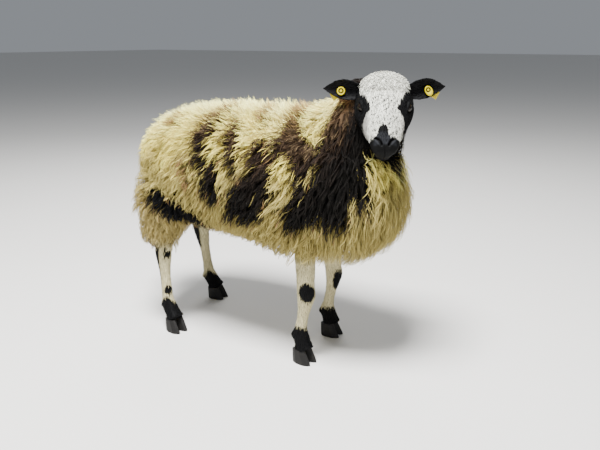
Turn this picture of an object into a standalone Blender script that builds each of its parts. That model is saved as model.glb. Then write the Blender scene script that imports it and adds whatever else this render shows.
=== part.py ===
# Dutch Spotted ram lamb, life size, standing still with its head turned to its right.
# Metres, +Z up, +X towards the chest, +Y the animal's left. The origin is on the floor under the
# middle of the animal's box. The fleece is built as flat tapered locks on a core.

import bpy
import bmesh
import math
import random
import numpy as np
from mathutils import Vector
from mathutils.bvhtree import BVHTree

# Steps along and round each form, of the core inside the fleece and of the skin under the locks
FORM_STEPS = {
    "leg": (11, 8), "head": (17, 18), "tail": (7, 8),
    "trunk": (12, 16), "neck": (7, 12), "thigh": (6, 10),
    "trunk_skin": (22, 24), "neck_skin": (12, 18), "thigh_skin": (10, 14),
}
# Gap between pieces that meet, the depth of the core inside the fleece, past every surface
GAP = 0.0003
CORE_SHARE = 0.5
FAR = 2.0
# Faces below this share of a corner's largest one don't steer its offset, and how far that goes
SLIVER_SHARE = 0.02
OFFSET_EASE = 0.02
CORNER_REACH = 2.5

# Trunk skin: x, middle height, half width, rise, drop, fleece depth
TRUNK_ROWS = [
    (-0.362, 0.503, 0.018, 0.020, 0.022, 0.038),
    (-0.350, 0.504, 0.048, 0.044, 0.060, 0.040),
    (-0.318, 0.511, 0.086, 0.084, 0.106, 0.042),
    (-0.252, 0.522, 0.122, 0.121, 0.137, 0.044),
    (-0.150, 0.527, 0.146, 0.139, 0.152, 0.047),
    (-0.020, 0.525, 0.155, 0.149, 0.154, 0.050),
    (0.110, 0.520, 0.150, 0.153, 0.162, 0.053),
    (0.220, 0.512, 0.144, 0.160, 0.181, 0.058),
    (0.310, 0.509, 0.130, 0.146, 0.165, 0.058),
    (0.382, 0.520, 0.104, 0.120, 0.136, 0.056),
    (0.432, 0.534, 0.068, 0.078, 0.092, 0.054),
    (0.454, 0.540, 0.024, 0.028, 0.034, 0.054),
]
TRUNK_CUT_REAR = -0.130
TRUNK_CUT_FRONT = 0.125
# Line of the cut under the neck, seen from the side
NECK_CUT = [(-0.20, 1.18), (0.40, 0.600), (0.90, 0.560)]

# Neck skin: x, y, z, half width, rise, drop, fleece depth
NECK_ROWS = [
    (0.245, 0.000, 0.545, 0.050, 0.060, 0.050, 0.050),
    (0.270, 0.000, 0.575, 0.100, 0.100, 0.095, 0.050),
    (0.324, 0.008, 0.632, 0.098, 0.084, 0.098, 0.052),
    (0.370, 0.020, 0.696, 0.090, 0.070, 0.084, 0.044),
    (0.398, 0.028, 0.752, 0.083, 0.062, 0.068, 0.034),
    (0.408, 0.028, 0.770, 0.068, 0.044, 0.052, 0.026),
    (0.412, 0.026, 0.782, 0.034, 0.018, 0.024, 0.020),
]

# Thigh skin on the right side: x, y, z, half width, front half, rear half, wool depth
THIGH_ROWS = [
    (-0.235, -0.060, 0.500, 0.030, 0.040, 0.040, 0.040),
    (-0.238, -0.075, 0.470, 0.062, 0.085, 0.085, 0.040),
    (-0.248, -0.098, 0.400, 0.058, 0.078, 0.072, 0.034),
    (-0.258, -0.118, 0.340, 0.046, 0.052, 0.052, 0.026),
    (-0.266, -0.128, 0.300, 0.032, 0.034, 0.036, 0.022),
    (-0.268, -0.130, 0.288, 0.014, 0.014, 0.014, 0.020),
]
THIGH_TOP = 0.405

# Fleece: depth over the skin, and the locks that stand for it
RUMP_WOOL = 0.044
CHEST_WOOL = 0.058
TRUNK_SPAN = (-0.40, 0.40)
THIGH_WOOL = 0.028
# Neck wool: where it starts (x, z), its depth there, how it thins upwards, its depth at the head
NECK_FROM = (0.30, 0.62)
NECK_WOOL = 0.056
NECK_THINS = 0.20
NECK_WOOL_HEAD = 0.026
# The head covers the top of the neck, so no locks start beyond this x and z
BARE_FROM = (0.36, 0.76)
TAIL_WOOL = 0.010
TAIL_LOCK = 0.42
TAIL_SPACING = 0.044
TAIL_SEED = 3
# Locks on the tail start behind this x and above this z
TAIL_BARE = (-0.39, 0.445)
LOCK_LENGTH = 0.118
LOCK_HALF = 0.045
LOCK_THICK = 0.016
LOCK_SPACING = 0.0685
SCATTER_TRIES = 9000
LOCK_SEED = 10
# How much locks vary: length, half width, stand off the skin, stray from the lie
LOCK_LENGTHS = (0.85, 1.2)
LOCK_HALVES = (0.85, 1.15)
LOCK_STANDS = (0.92, 1.08)
LOCK_STRAY = 0.22
# Share of a lock's thickness that stays where it narrows
LOCK_THIN = 0.35
# How far back the locks lie for each step down: on the sides, the chest and the thighs, and where
# they turn to hang straight
LIE_BACK = 0.75
LIE_FRONT = 0.12
LIE_THIGH = 0.15
LIE_TURN = 0.22
LIE_EASE = 3.4
# Along a lock: share of its length, share of the coat's depth, share of its half width
LOCK_WAY = (0.0, 0.32, 0.70, 1.0)
LOCK_SHARES = (-0.02, 0.66, 0.83, 0.68)
LOCK_WIDE = (0.65, 1.0, 0.72)
# Section of a lock across and up, in half widths and thicknesses
LOCK_RING = [(-1.0, -0.4), (0.0, 0.9), (1.0, -0.4)]

# Lower legs: height, forward offset, outward offset, half width, front half, rear half
FRONT_LEG_ROWS = [
    (0.352, 0.002, 0.006, 0.026, 0.030, 0.032),
    (0.280, 0.005, 0.004, 0.023, 0.027, 0.027),
    (0.232, 0.007, 0.002, 0.022, 0.025, 0.023),
    (0.205, 0.009, 0.001, 0.024, 0.026, 0.022),
    (0.178, 0.006, 0.000, 0.018, 0.020, 0.019),
    (0.140, 0.000, 0.000, 0.013, 0.014, 0.016),
    (0.105, -0.006, 0.000, 0.014, 0.015, 0.018),
    (0.082, -0.008, 0.000, 0.020, 0.020, 0.024),
    (0.060, -0.001, 0.000, 0.021, 0.021, 0.023),
    (0.030, 0.004, 0.000, 0.026, 0.026, 0.026),
]
HIND_LEG_ROWS = [
    (0.330, -0.034, 0.016, 0.026, 0.034, 0.034),
    (0.290, -0.041, 0.012, 0.023, 0.028, 0.032),
    (0.255, -0.046, 0.008, 0.021, 0.024, 0.032),
    (0.225, -0.045, 0.006, 0.019, 0.021, 0.025),
    (0.180, -0.040, 0.003, 0.014, 0.015, 0.018),
    (0.130, -0.034, 0.001, 0.014, 0.015, 0.017),
    (0.100, -0.030, 0.000, 0.016, 0.017, 0.019),
    (0.082, -0.025, 0.000, 0.020, 0.020, 0.024),
    (0.060, -0.011, 0.000, 0.021, 0.021, 0.023),
    (0.030, 0.002, 0.000, 0.026, 0.026, 0.026),
]

# Feet: middle of each hoof on the floor (x, y), the heading it points to in degrees
FEET = {
    "front_right": (0.252, -0.099, -6.0),
    "front_left": (0.227, 0.100, 4.0),
    "hind_right": (-0.205, -0.144, -8.0),
    "hind_left": (-0.274, 0.144, 6.0),
}
# Hoof claw: height, length front to back, width, shift of the middle forwards
CLAW_RINGS = [
    (0.0000, 0.060, 0.0270, 0.006),
    (0.0040, 0.062, 0.0285, 0.005),
    (0.0250, 0.052, 0.0270, -0.001),
    (0.0417, 0.042, 0.0240, -0.006),
]
CLAW_SPREAD = 0.0148
# Claw outline: points round it, how full its ends are, how much it narrows to the tip
CLAW_POINTS = 10
CLAW_FULL = 0.85
CLAW_TAPER = 0.42
# Dewclaw: half width, length, height, place on the leg's rows, sink into the leg, half spread
DEWCLAW = (0.0075, 0.0100, 0.014)
DEWCLAW_ROW = 7 / 9
DEWCLAW_SUNK = 0.80
DEWCLAW_SPREAD = 0.010
# Along a dewclaw: rise in its heights, lean back in its lengths, share of its half width
DEWCLAW_WAY = [(0.5, 0.0, 0.7), (-0.1, 0.0, 1.0), (-0.8, 0.35, 0.45)]

# Head: middle of the poll, heading and dip of the face, length poll to muzzle
HEAD_MIDDLE = (0.470, -0.070, 0.716)
HEAD_HEADING = -61.0
FACE_DIP = 55.0
HEAD_LENGTH = 0.224
# Distance from the poll, half width, rise to the forehead, drop to the jaw, pinch of the bridge
HEAD_ROWS = [
    (0.000, 0.012, 0.012, 0.016, 0.00),
    (0.005, 0.034, 0.027, 0.042, 0.00),
    (0.022, 0.056, 0.043, 0.070, 0.02),
    (0.047, 0.067, 0.048, 0.083, 0.08),
    (0.077, 0.072, 0.047, 0.087, 0.18),
    (0.107, 0.070, 0.046, 0.082, 0.28),
    (0.134, 0.059, 0.046, 0.069, 0.28),
    (0.162, 0.047, 0.044, 0.055, 0.14),
    (0.185, 0.041, 0.039, 0.045, 0.05),
    (0.204, 0.039, 0.033, 0.041, 0.02),
    (0.216, 0.031, 0.024, 0.033, 0.00),
    (0.222, 0.018, 0.013, 0.019, 0.00),
    (0.224, 0.006, 0.004, 0.006, 0.00),
]
# Eyes: middle in head lengths as above, outward direction to the side, out and along, radius
EYE_AT = (0.096, 0.0530, 0.0155)
EYE_OUT = (0.86, 0.36, 0.24)
EYE_RADIUS = 0.0130
LID_HALF = (0.0150, 0.0105)
LID_THICK = 0.0034
# How far out of the eye's middle the lid rim lies, in eye radii, and how far its corners fall back
LID_BRIM = 0.62
LID_CORNER = 0.0035
EYE_POINTS = 10
MOUTH_FROM = 0.185
MOUTH_LEVEL = -0.013
# Half the turn of the mouth line, and how its corners fall and lie further back
MOUTH_SWEEP = 150.0
MOUTH_DROP = 0.004
MOUTH_BACK = 0.012
MOUTH_DEPTH = 0.0050
MOUTH_STEPS = 5
MOUTH_OPEN = 0.0016
LIP_THICK = 0.0042
# Lips: depth of their middle line, share of the thickness above and below the mouth, ends
LIP_SUNK = 0.0022
LIP_SPREAD = 0.75
LIP_ENDS = 0.45
# Nostril ends as directions from inside the muzzle: along the face, sideways, out of the forehead
NOSTRIL_OUTER = (0.72, 0.62, 0.80)
NOSTRIL_INNER = (0.95, 0.24, 0.26)
NOSTRIL_RADIUS = 0.0036
# Along a nostril: share of its length, share of its radius
NOSTRIL_WAY = (0.0, 0.35, 0.7, 1.0)
NOSTRIL_WIDE = (0.6, 1.15, 0.8, 0.4)
NOSTRIL_CURL = 0.0016
NOSTRIL_SUNK = 0.0006
# Short curly wool on the forehead: clump size against a fleece lock, depth, spacing, and how far
# down the face, out and to the side it grows
POLL_CLUMP = 0.34
POLL_WOOL = 0.008
POLL_SPACING = 0.026
POLL_REACH = (0.052, 0.004, 0.050)
POLL_SEED = 11
POLL_SPREAD = 8.0

# Ears: root on the head, length, half height, wall, how far they point up and back
EAR_ROOT = (0.046, 0.048, 0.004)
EAR_LENGTH = 0.106
EAR_HALF = 0.0245
EAR_WALL = 0.0028
EAR_LIFT = {1: 0.12, -1: 0.06}
EAR_BACK = 0.16
EAR_TILT = 0.12
# Height at the root against the middle, where it is full and where it starts to narrow
EAR_NECK = 0.44
EAR_FULL = 0.40
EAR_NARROW = 0.50
EAR_TIP_POWER = 1.7
# Half angle that the ear is cupped by, at the root and lost to the tip, and its sag
EAR_CUP = (1.25, 0.75)
EAR_SAG = 0.004
EAR_THINNED = 0.45
# Ear tags: place along the ear and below its middle line, stem, thickness
TAG_ALONG = 0.56
TAG_DOWN = 0.006
TAG_STEM = 0.0024
TAG_THICK = 0.0032
# Front part on each side: stand off the ear, half width, stretch and slide along its length
TAG_FRONT = {1: (0.0085, 0.0095, 1.40, 0.0030), -1: (0.0055, 0.0105, 1.0, 0.0)}
# Section of the front part: share of the thickness, share of the half width
TAG_SECTION = [(0.0, 0.94), (0.35, 1.0), (0.80, 0.97), (1.0, 0.84), (1.0, 0.66), (0.30, 0.60),
               (0.30, 0.34), (0.85, 0.28)]
TAG_SLIDES = 0.70
TAG_POINTS = 12
# Rear part: stand off the ear, width, length, thickness, and how far each part swings outwards
TAG_BEHIND = 0.0045
TAG_PANEL = (0.020, 0.031, 0.0018)
TAG_SWING = {"front": 25.0, "rear": 55.0}

# Tail, docked, under the rump wool: x, y, z, half width, rise, drop
TAIL_ROWS = [
    (-0.352, 0.0, 0.585, 0.022, 0.018, 0.016),
    (-0.396, 0.0, 0.555, 0.026, 0.019, 0.017),
    (-0.417, 0.0, 0.500, 0.026, 0.018, 0.016),
    (-0.420, 0.0, 0.450, 0.021, 0.015, 0.014),
    (-0.417, 0.0, 0.422, 0.011, 0.009, 0.008),
]

# Colours: sRGB hex, roughness
COLOURS = {
    "fleece": ("E6D8A6", 0.9),
    "dark_fleece": ("3A2A24", 0.9),
    "face": ("E4E6DE", 0.8),
    "black_hair": ("15151A", 0.7),
    "leg": ("D9D6C6", 0.8),
    "horn": ("2A2725", 0.5),
    "eye": ("1C130C", 0.1),
    "tag": ("F0D81E", 0.45),
}


def material(key):
    """Principled material from the colour table."""
    if key in bpy.data.materials:
        return bpy.data.materials[key]
    made = bpy.data.materials.new(key)
    made.use_nodes = True
    shader = made.node_tree.nodes["Principled BSDF"]
    code, rough = COLOURS[key]
    parts = [int(code[i:i + 2], 16) / 255 for i in (0, 2, 4)]
    linear = [c / 12.92 if c < 0.04045 else ((c + 0.055) / 1.055) ** 2.4 for c in parts]
    shader.inputs["Base Color"].default_value = (*linear, 1)
    shader.inputs["Roughness"].default_value = rough
    shader.inputs["Metallic"].default_value = 0.0
    return made


def flow(rows, s):
    """A smooth reading of the rows at s from 0 to 1."""
    rows = np.asarray(rows, float)
    place = min(max(s, 0.0), 1.0) * (len(rows) - 1)
    i = min(int(place), len(rows) - 2)
    f = place - i
    a, b, c, d = (rows[min(max(i + k, 0), len(rows) - 1)] for k in (-1, 0, 1, 2))
    return b + 0.5 * f * (c - a + f * (2 * a - 5 * b + 4 * c - d + f * (3 * (b - c) + d - a)))


class Tube:
    """A trunk or limb of rounded sections along a middle line."""

    def __init__(self, rows, side, power=2.25):
        self.rows = np.array([tuple(r) for r in rows], float)
        self.side = Vector(side).normalized()
        self.power = power

    def frame(self, s):
        row = flow(self.rows, s)
        step = 0.01
        ahead = flow(self.rows, min(s + step, 1.0))[:3] - flow(self.rows, max(s - step, 0.0))[:3]
        up = Vector(ahead).normalized().cross(self.side).normalized()
        return row, up

    def skin(self, s, turn):
        row, up = self.frame(s)
        c, q = math.cos(turn), math.sin(turn)
        e = 2 / self.power
        pinch = row[7] if len(row) > 7 else 0.0
        across = math.copysign(abs(c) ** e, c) * row[3] * (1 - pinch * max(q, 0.0))
        rise = math.copysign(abs(q) ** e, q) * (row[4] if q > 0 else row[5])
        return Vector(row[:3]) + self.side * across + up * rise

    def normal(self, s, turn):
        h = 0.02
        s = min(max(s, 0.03), 0.97)
        along = self.skin(s + h, turn) - self.skin(s - h, turn)
        round_ = self.skin(s, turn + h * 3) - self.skin(s, turn - h * 3)
        return round_.cross(along).normalized()

    def depth(self, s):
        return flow(self.rows, s)[6]

    def point(self, s, turn, share):
        """The skin moved out by a share of the coat's depth."""
        return self.skin(s, turn) + self.normal(s, turn) * (self.depth(s) * share)


def add_object(name, mesh, key):
    made = bpy.data.objects.new(name, mesh)
    bpy.context.scene.collection.objects.link(made)
    made.data.materials.clear()
    made.data.materials.append(material(key))
    return made


def closed_mesh(name, rings, tip=None):
    """A closed mesh through rings of the same count, with a fan at each end."""
    count = len(rings[0])
    points = [p for ring in rings for p in ring]
    faces = []
    for r in range(len(rings) - 1):
        for i in range(count):
            j = (i + 1) % count
            a, b = r * count + i, r * count + j
            faces.append((a, b, b + count, a + count))
    first = len(points)
    points.append(sum(rings[0], Vector()) / count)
    points.append(tip if tip else sum(rings[-1], Vector()) / count)
    last = (len(rings) - 1) * count
    for i in range(count):
        j = (i + 1) % count
        faces.append((first, j, i))
        faces.append((first + 1, last + i, last + j))
    mesh = bpy.data.meshes.new(name)
    mesh.from_pydata([tuple(p) for p in points], [], faces)
    shape = bmesh.new()
    shape.from_mesh(mesh)
    bmesh.ops.recalc_face_normals(shape, faces=shape.faces)
    bmesh.ops.triangulate(shape, faces=shape.faces)
    if shape.calc_volume(signed=True) < 0:
        bmesh.ops.reverse_faces(shape, faces=shape.faces)
    shape.to_mesh(mesh)
    shape.free()
    return mesh


def tube_mesh(form, tube, share=0.0):
    """A closed mesh over a tube, at its skin or at a share of the coat's depth."""
    along, around = FORM_STEPS[form]
    rings = []
    for i in range(along + 1):
        s = i / along
        rings.append([tube.point(s, math.tau * k / around, share) if share else
                      tube.skin(s, math.tau * k / around) for k in range(around)])
    return closed_mesh(form, rings)


def sweep_mesh(name, path, sizes, sides=6, flat=None):
    """A round bar along a path, with a half size at each point."""
    rings = []
    for i, here in enumerate(path):
        ahead = (path[min(i + 1, len(path) - 1)] - path[max(i - 1, 0)]).normalized()
        guide = flat if flat is not None else Vector((0, 0, 1))
        if abs(ahead.dot(guide)) > 0.95:
            guide = Vector((1, 0, 0))
        a = ahead.cross(guide).normalized()
        b = a.cross(ahead).normalized()
        rings.append([here + a * (sizes[i] * math.cos(math.tau * k / sides)) +
                      b * (sizes[i] * math.sin(math.tau * k / sides))
                      for k in range(sides)])
    return closed_mesh(name, rings)


def apply_all(made):
    """The object's mesh with its modifiers applied."""
    bpy.context.view_layer.update()
    graph = bpy.context.evaluated_depsgraph_get()
    mesh = bpy.data.meshes.new_from_object(made.evaluated_get(graph))
    made.modifiers.clear()
    made.data = mesh


def boolean(made, how, others, solver="MANIFOLD"):
    """Union or cut with all the others at once, applied, and the others removed."""
    group = bpy.data.collections.new("tools")
    bpy.context.scene.collection.children.link(group)
    for other in others:
        for owner in list(other.users_collection):
            owner.objects.unlink(other)
        group.objects.link(other)
    step = made.modifiers.new(how.lower(), "BOOLEAN")
    step.operation = how
    step.operand_type = "COLLECTION"
    step.collection = group
    step.solver = solver
    apply_all(made)
    for other in list(group.objects):
        bpy.data.objects.remove(other)
    bpy.data.collections.remove(group)


def copy_of(made, name):
    twin = bpy.data.objects.new(name, made.data.copy())
    bpy.context.scene.collection.objects.link(twin)
    return twin


def swollen(made, by):
    """A copy whose surface stands off by a distance, used to cut the neighbours clear."""
    twin = copy_of(made, made.name + "_clear")
    shape = bmesh.new()
    shape.from_mesh(twin.data)
    shape.normal_update()
    moves = [offset_way(v) * by for v in shape.verts]
    for v, move in zip(shape.verts, moves):
        v.co += move
    shape.to_mesh(twin.data)
    shape.free()
    return twin


def offset_way(vertex):
    """The move of a corner that lifts its faces by one, found so that slivers don't steer it."""
    faces = vertex.link_faces
    sizes = np.array([face.calc_area() for face in faces])
    normals = np.array([face.normal for face in faces])
    weights = np.where(sizes > sizes.max() * SLIVER_SHARE, 1.0, sizes / sizes.max())
    mean = normals.T @ weights
    mean /= np.linalg.norm(mean)
    wanted = normals.T @ weights + mean * OFFSET_EASE
    spread = (normals * weights[:, None]).T @ normals + np.eye(3) * OFFSET_EASE
    way = Vector(np.linalg.solve(spread, wanted))
    return way.normalized() * min(way.length, CORNER_REACH)


def keep_largest(made):
    """Only the largest closed surface stays, in triangles."""
    shape = bmesh.new()
    shape.from_mesh(made.data)
    bmesh.ops.triangulate(shape, faces=shape.faces)
    islands, seen = [], set()
    for start in shape.faces:
        if start in seen:
            continue
        stack, island = [start], []
        seen.add(start)
        while stack:
            face = stack.pop()
            island.append(face)
            for edge in face.edges:
                if len(edge.link_faces) != 2:
                    continue
                for other in edge.link_faces:
                    if other not in seen:
                        seen.add(other)
                        stack.append(other)
        islands.append(island)
    islands.sort(key=size_of_island, reverse=True)
    for island in islands[1:]:
        bmesh.ops.delete(shape, geom=island, context="FACES")
    loose = [v for v in shape.verts if not v.link_faces]
    bmesh.ops.delete(shape, geom=loose, context="VERTS")
    shape.to_mesh(made.data)
    shape.free()


def size_of_island(island):
    lows = [min(v.co[k] for f in island for v in f.verts) for k in range(3)]
    highs = [max(v.co[k] for f in island for v in f.verts) for k in range(3)]
    return (highs[0] - lows[0]) * (highs[1] - lows[1]) * (highs[2] - lows[2])


def box_object(low, high):
    """A closed box between two corners, used as a cutter."""
    mesh = bpy.data.meshes.new("box")
    shape = bmesh.new()
    bmesh.ops.create_cube(shape, size=1.0)
    for v in shape.verts:
        v.co = Vector([low[k] if v.co[k] < 0 else high[k] for k in range(3)])
    bmesh.ops.recalc_face_normals(shape, faces=shape.faces)
    shape.to_mesh(mesh)
    shape.free()
    return as_cutter(add_object("box", mesh, "fleece"))


def fleece_depth(p):
    """Depth of the coat over the skin at a point."""
    if p.x < TRUNK_CUT_REAR and p.z < THIGH_TOP:
        return THIGH_WOOL
    if p.x > NECK_FROM[0] and p.z > NECK_FROM[1]:
        return max(NECK_WOOL_HEAD, NECK_WOOL - NECK_THINS * (p.z - NECK_FROM[1]))
    share = min(max((p.x - TRUNK_SPAN[0]) / (TRUNK_SPAN[1] - TRUNK_SPAN[0]), 0.0), 1.0)
    return RUMP_WOOL + (CHEST_WOOL - RUMP_WOOL) * share


def fleece_lie(p, normal):
    """Direction in which the coat lies at a point: down, and back along the sides."""
    back = max(LIE_FRONT, LIE_BACK - LIE_EASE * max(p.x - LIE_TURN, 0.0))
    if p.x < TRUNK_CUT_REAR and p.z < THIGH_TOP:
        back = LIE_THIGH
    way = Vector((-back, 0, -1))
    way -= normal * way.dot(normal)
    return way.normalized() if way.length > 0.05 else Vector((-1, 0, 0))


def lock_mesh(catch, root, normal, draw, size=1.0, depth_of=fleece_depth, lie_of=fleece_lie):
    """A flat tapered lock that starts under the core and bends along the lie."""
    length = LOCK_LENGTH * size * draw.uniform(*LOCK_LENGTHS)
    half = LOCK_HALF * size * draw.uniform(*LOCK_HALVES)
    spot, out = root, normal
    way = lie_of(root, normal)
    way = (way + out.cross(way) * draw.uniform(-LOCK_STRAY, LOCK_STRAY)).normalized()
    spots = [(spot, out, way)]
    done = 0.0
    for share in LOCK_WAY[1:]:
        near, out, _, _ = catch.find_nearest(spot + way * (length * (share - done)))
        spot, done = near, share
        lie = lie_of(near, out)
        way = (way * 0.5 + lie * 0.5 - out * out.dot(way) * 0.5).normalized()
        spots.append((spot, out, way))
    stand = draw.uniform(*LOCK_STANDS)
    path = [p + o * (depth_of(p) * h * stand) for (p, o, _), h in zip(spots, LOCK_SHARES)]
    rings = []
    for i, wide in enumerate(LOCK_WIDE):
        ahead = (path[min(i + 1, len(path) - 1)] - path[max(i - 1, 0)]).normalized()
        side = ahead.cross(spots[i][1]).normalized()
        up = side.cross(ahead).normalized()
        thick = LOCK_THICK * size * (LOCK_THIN + (1 - LOCK_THIN) * wide)
        rings.append([path[i] + side * (x * half * wide) + up * (y * thick)
                      for x, y in LOCK_RING])
    return closed_mesh("lock", rings, path[-1])


def scattered(made, spacing, draw, allowed):
    """Evenly spread points on an object's surface, each with its normal."""
    made.data.calc_loop_triangles()
    corners = [v.co for v in made.data.vertices]
    triangles = [[corners[i] for i in t.vertices] for t in made.data.loop_triangles]
    areas = [((b - a).cross(c - a)).length / 2 for a, b, c in triangles]
    picks = draw.choices(range(len(triangles)), weights=areas, k=SCATTER_TRIES)
    chosen = []
    for k in picks:
        a, b, c = triangles[k]
        u, v = sorted((draw.random(), draw.random()))
        p = a * u + b * (v - u) + c * (1 - v)
        if not allowed(p):
            continue
        if all((p - q).length > spacing for q, _ in chosen):
            chosen.append((p, (b - a).cross(c - a).normalized()))
    return chosen


def thigh_tube(side):
    rows = []
    shift_x = FEET["hind_left"][0] - FEET["hind_right"][0] if side > 0 else 0.0
    for x, y, z, wide, front, rear, coat in THIGH_ROWS:
        lowered = (THIGH_ROWS[0][2] - z) / (THIGH_ROWS[0][2] - THIGH_ROWS[-1][2])
        rows.append((x + shift_x * lowered, -side * y, z, wide, front, rear, coat))
    return Tube(rows, (0, 1, 0))


def trunk_tube():
    return Tube([(x, 0, z, w, r, d, c) for x, z, w, r, d, c in TRUNK_ROWS], (0, 1, 0))


def neck_tube():
    return Tube(NECK_ROWS, (0.03, 1, 0))


def head_axes():
    """Along the face, to the head's left, and out of the forehead."""
    a, dip = math.radians(HEAD_HEADING), math.radians(FACE_DIP)
    ahead = Vector((math.cos(a), math.sin(a), 0))
    along = ahead * math.cos(dip) - Vector((0, 0, math.sin(dip)))
    left = Vector((-math.sin(a), math.cos(a), 0))
    return along, left, along.cross(left)


def head_place(far, left, out):
    """A point given along the face from the poll, to the left and out of the forehead."""
    along, side, up = head_axes()
    poll = Vector(HEAD_MIDDLE) - along * (HEAD_LENGTH / 2)
    return poll + along * far + side * left + up * out


def head_tube():
    rows = []
    for far, wide, rise, drop, pinch in HEAD_ROWS:
        rows.append((*head_place(far, 0, 0), wide, rise, drop, 0.0, pinch))
    return Tube(rows, head_axes()[1], power=2.15)


def leg_tube(name):
    """The bare leg below the wool, from its rows and its foot."""
    x, y, heading = FEET[name]
    turn = math.radians(heading)
    ahead = Vector((math.cos(turn), math.sin(turn), 0))
    inward = 1 if y < 0 else -1
    rows = []
    for z, forward, inner, wide, front, rear in (
            FRONT_LEG_ROWS if name.startswith("front") else HIND_LEG_ROWS):
        rows.append((x + ahead.x * forward, y + ahead.y * forward + inward * inner, z,
                     wide, front, rear))
    side = Vector((-ahead.y, ahead.x, 0))
    return Tube(rows, side)


def build_legs():
    legs = {}
    for name in FEET:
        tube = leg_tube(name)
        part = add_object(name + "_leg", tube_mesh("leg", tube), "leg")
        lows = [add_dewclaw(tube, side) for side in (-1, 1)]
        boolean(part, "UNION", lows)
        floor = box_object((-FAR, -FAR, -FAR), (FAR, FAR, CLAW_RINGS[-1][0] + GAP))
        boolean(part, "DIFFERENCE", [floor])
        keep_largest(part)
        legs[name] = part
    return legs


def add_dewclaw(tube, side):
    """A small claw behind the fetlock."""
    row, ahead = tube.frame(DEWCLAW_ROW)
    wide, long, tall = DEWCLAW
    middle = Vector(row[:3]) - ahead * (row[5] * DEWCLAW_SUNK) + tube.side * (side * DEWCLAW_SPREAD)
    path = [middle - ahead * (long * back) + Vector((0, 0, tall * up)) for up, back, _ in DEWCLAW_WAY]
    sizes = [wide * share for _, _, share in DEWCLAW_WAY]
    return add_object("dewclaw", sweep_mesh("dewclaw", path, sizes, sides=5, flat=ahead), "leg")


def build_claws():
    for name, (x, y, heading) in FEET.items():
        turn = math.radians(heading)
        ahead = Vector((math.cos(turn), math.sin(turn), 0))
        side = Vector((-ahead.y, ahead.x, 0))
        for place, sign in (("inner", 1 if y < 0 else -1), ("outer", -1 if y < 0 else 1)):
            rings = []
            for height, long, wide, shift in CLAW_RINGS:
                middle = Vector((x, y, height)) + ahead * shift + side * (sign * CLAW_SPREAD)
                ring = []
                for k in range(CLAW_POINTS):
                    a = math.tau * k / CLAW_POINTS
                    c, q = math.cos(a), math.sin(a)
                    reach = long / 2 * math.copysign(abs(c) ** CLAW_FULL, c)
                    taper = 1.0 - CLAW_TAPER * max(c, 0) ** 2
                    ring.append(middle + ahead * reach + side * (wide / 2 * q * taper))
                rings.append(ring)
            add_object(f"{name}_hoof_{place}", closed_mesh(name, rings), "horn")


def mouth_path(catch, reach):
    """Points round the muzzle on the mouth line, from corner to corner."""
    along, left, up = head_axes()
    path = []
    for k in range(-MOUTH_STEPS, MOUTH_STEPS + 1):
        share = k / MOUTH_STEPS
        a = math.radians(MOUTH_SWEEP * share)
        level = MOUTH_LEVEL - MOUTH_DROP * abs(share)
        start = head_place(MOUTH_FROM - MOUTH_BACK * share ** 2, 0, level)
        way = along * math.cos(a) + left * math.sin(a)
        hit, face_normal, _, _ = catch.ray_cast(start, way)
        path.append((hit + face_normal * reach, face_normal))
    return path


def surface_of(made):
    shape = bmesh.new()
    shape.from_mesh(made.data)
    found = BVHTree.FromBMesh(shape)
    shape.free()
    return found


def build_head():
    """Skull and muzzle with lids, lips, the line of the mouth and nostrils."""
    tube = head_tube()
    head = add_object("head", tube_mesh("head", tube), "face")
    catch = surface_of(head)
    along, left, up = head_axes()
    extra = [lip(catch, shift) for shift in (1, -1)]
    extra += [eyelids(side) for side in (1, -1)]
    extra += poll_clumps(head, catch)
    boolean(head, "UNION", extra)
    cuts = [mouth_cutter(catch)]
    for side in (1, -1):
        cuts.append(nostril_cutter(catch, side))
        middle = eye_place(side)[0]
        cuts.append(as_cutter(ball("socket", middle, EYE_RADIUS + GAP)))
        ball("eye_left" if side > 0 else "eye_right", middle, EYE_RADIUS)
    boolean(head, "DIFFERENCE", cuts)
    keep_largest(head)
    return head


def lip(catch, shift):
    """The upper or lower lip along the mouth line, thinner towards its corners."""
    up = head_axes()[2]
    path = [p + up * (shift * LIP_THICK * LIP_SPREAD) for p, _ in mouth_path(catch, -LIP_SUNK)]
    steps = len(path) + 1
    sizes = [LIP_THICK * (LIP_ENDS + (1 - LIP_ENDS) * math.sin(math.pi * (k + 1) / steps))
             for k in range(len(path))]
    return add_object("lip", sweep_mesh("lip", path, sizes, sides=5), "black_hair")


def eye_place(side):
    """Middle of an eye and the direction that it looks in."""
    along, left, up = head_axes()
    middle = head_place(EYE_AT[0], side * EYE_AT[1], EYE_AT[2])
    out = left * (side * EYE_OUT[0]) + up * EYE_OUT[1] + along * EYE_OUT[2]
    return middle, out.normalized()


def eyelids(side):
    """The rim of both lids round an eye, its corners falling back."""
    middle, out = eye_place(side)
    along = head_axes()[0]
    wide = (along - out * along.dot(out)).normalized()
    tall = out.cross(wide).normalized()
    brim = middle + out * (EYE_RADIUS * LID_BRIM)
    ring = []
    for k in range(EYE_POINTS):
        a = math.tau * k / EYE_POINTS
        ring.append(brim + wide * (LID_HALF[0] * math.cos(a)) +
                    tall * (LID_HALF[1] * math.sin(a)) - out * (LID_CORNER * math.cos(a) ** 2))
    return add_object("lid", ring_mesh("lid", ring, out, LID_THICK), "black_hair")


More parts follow.
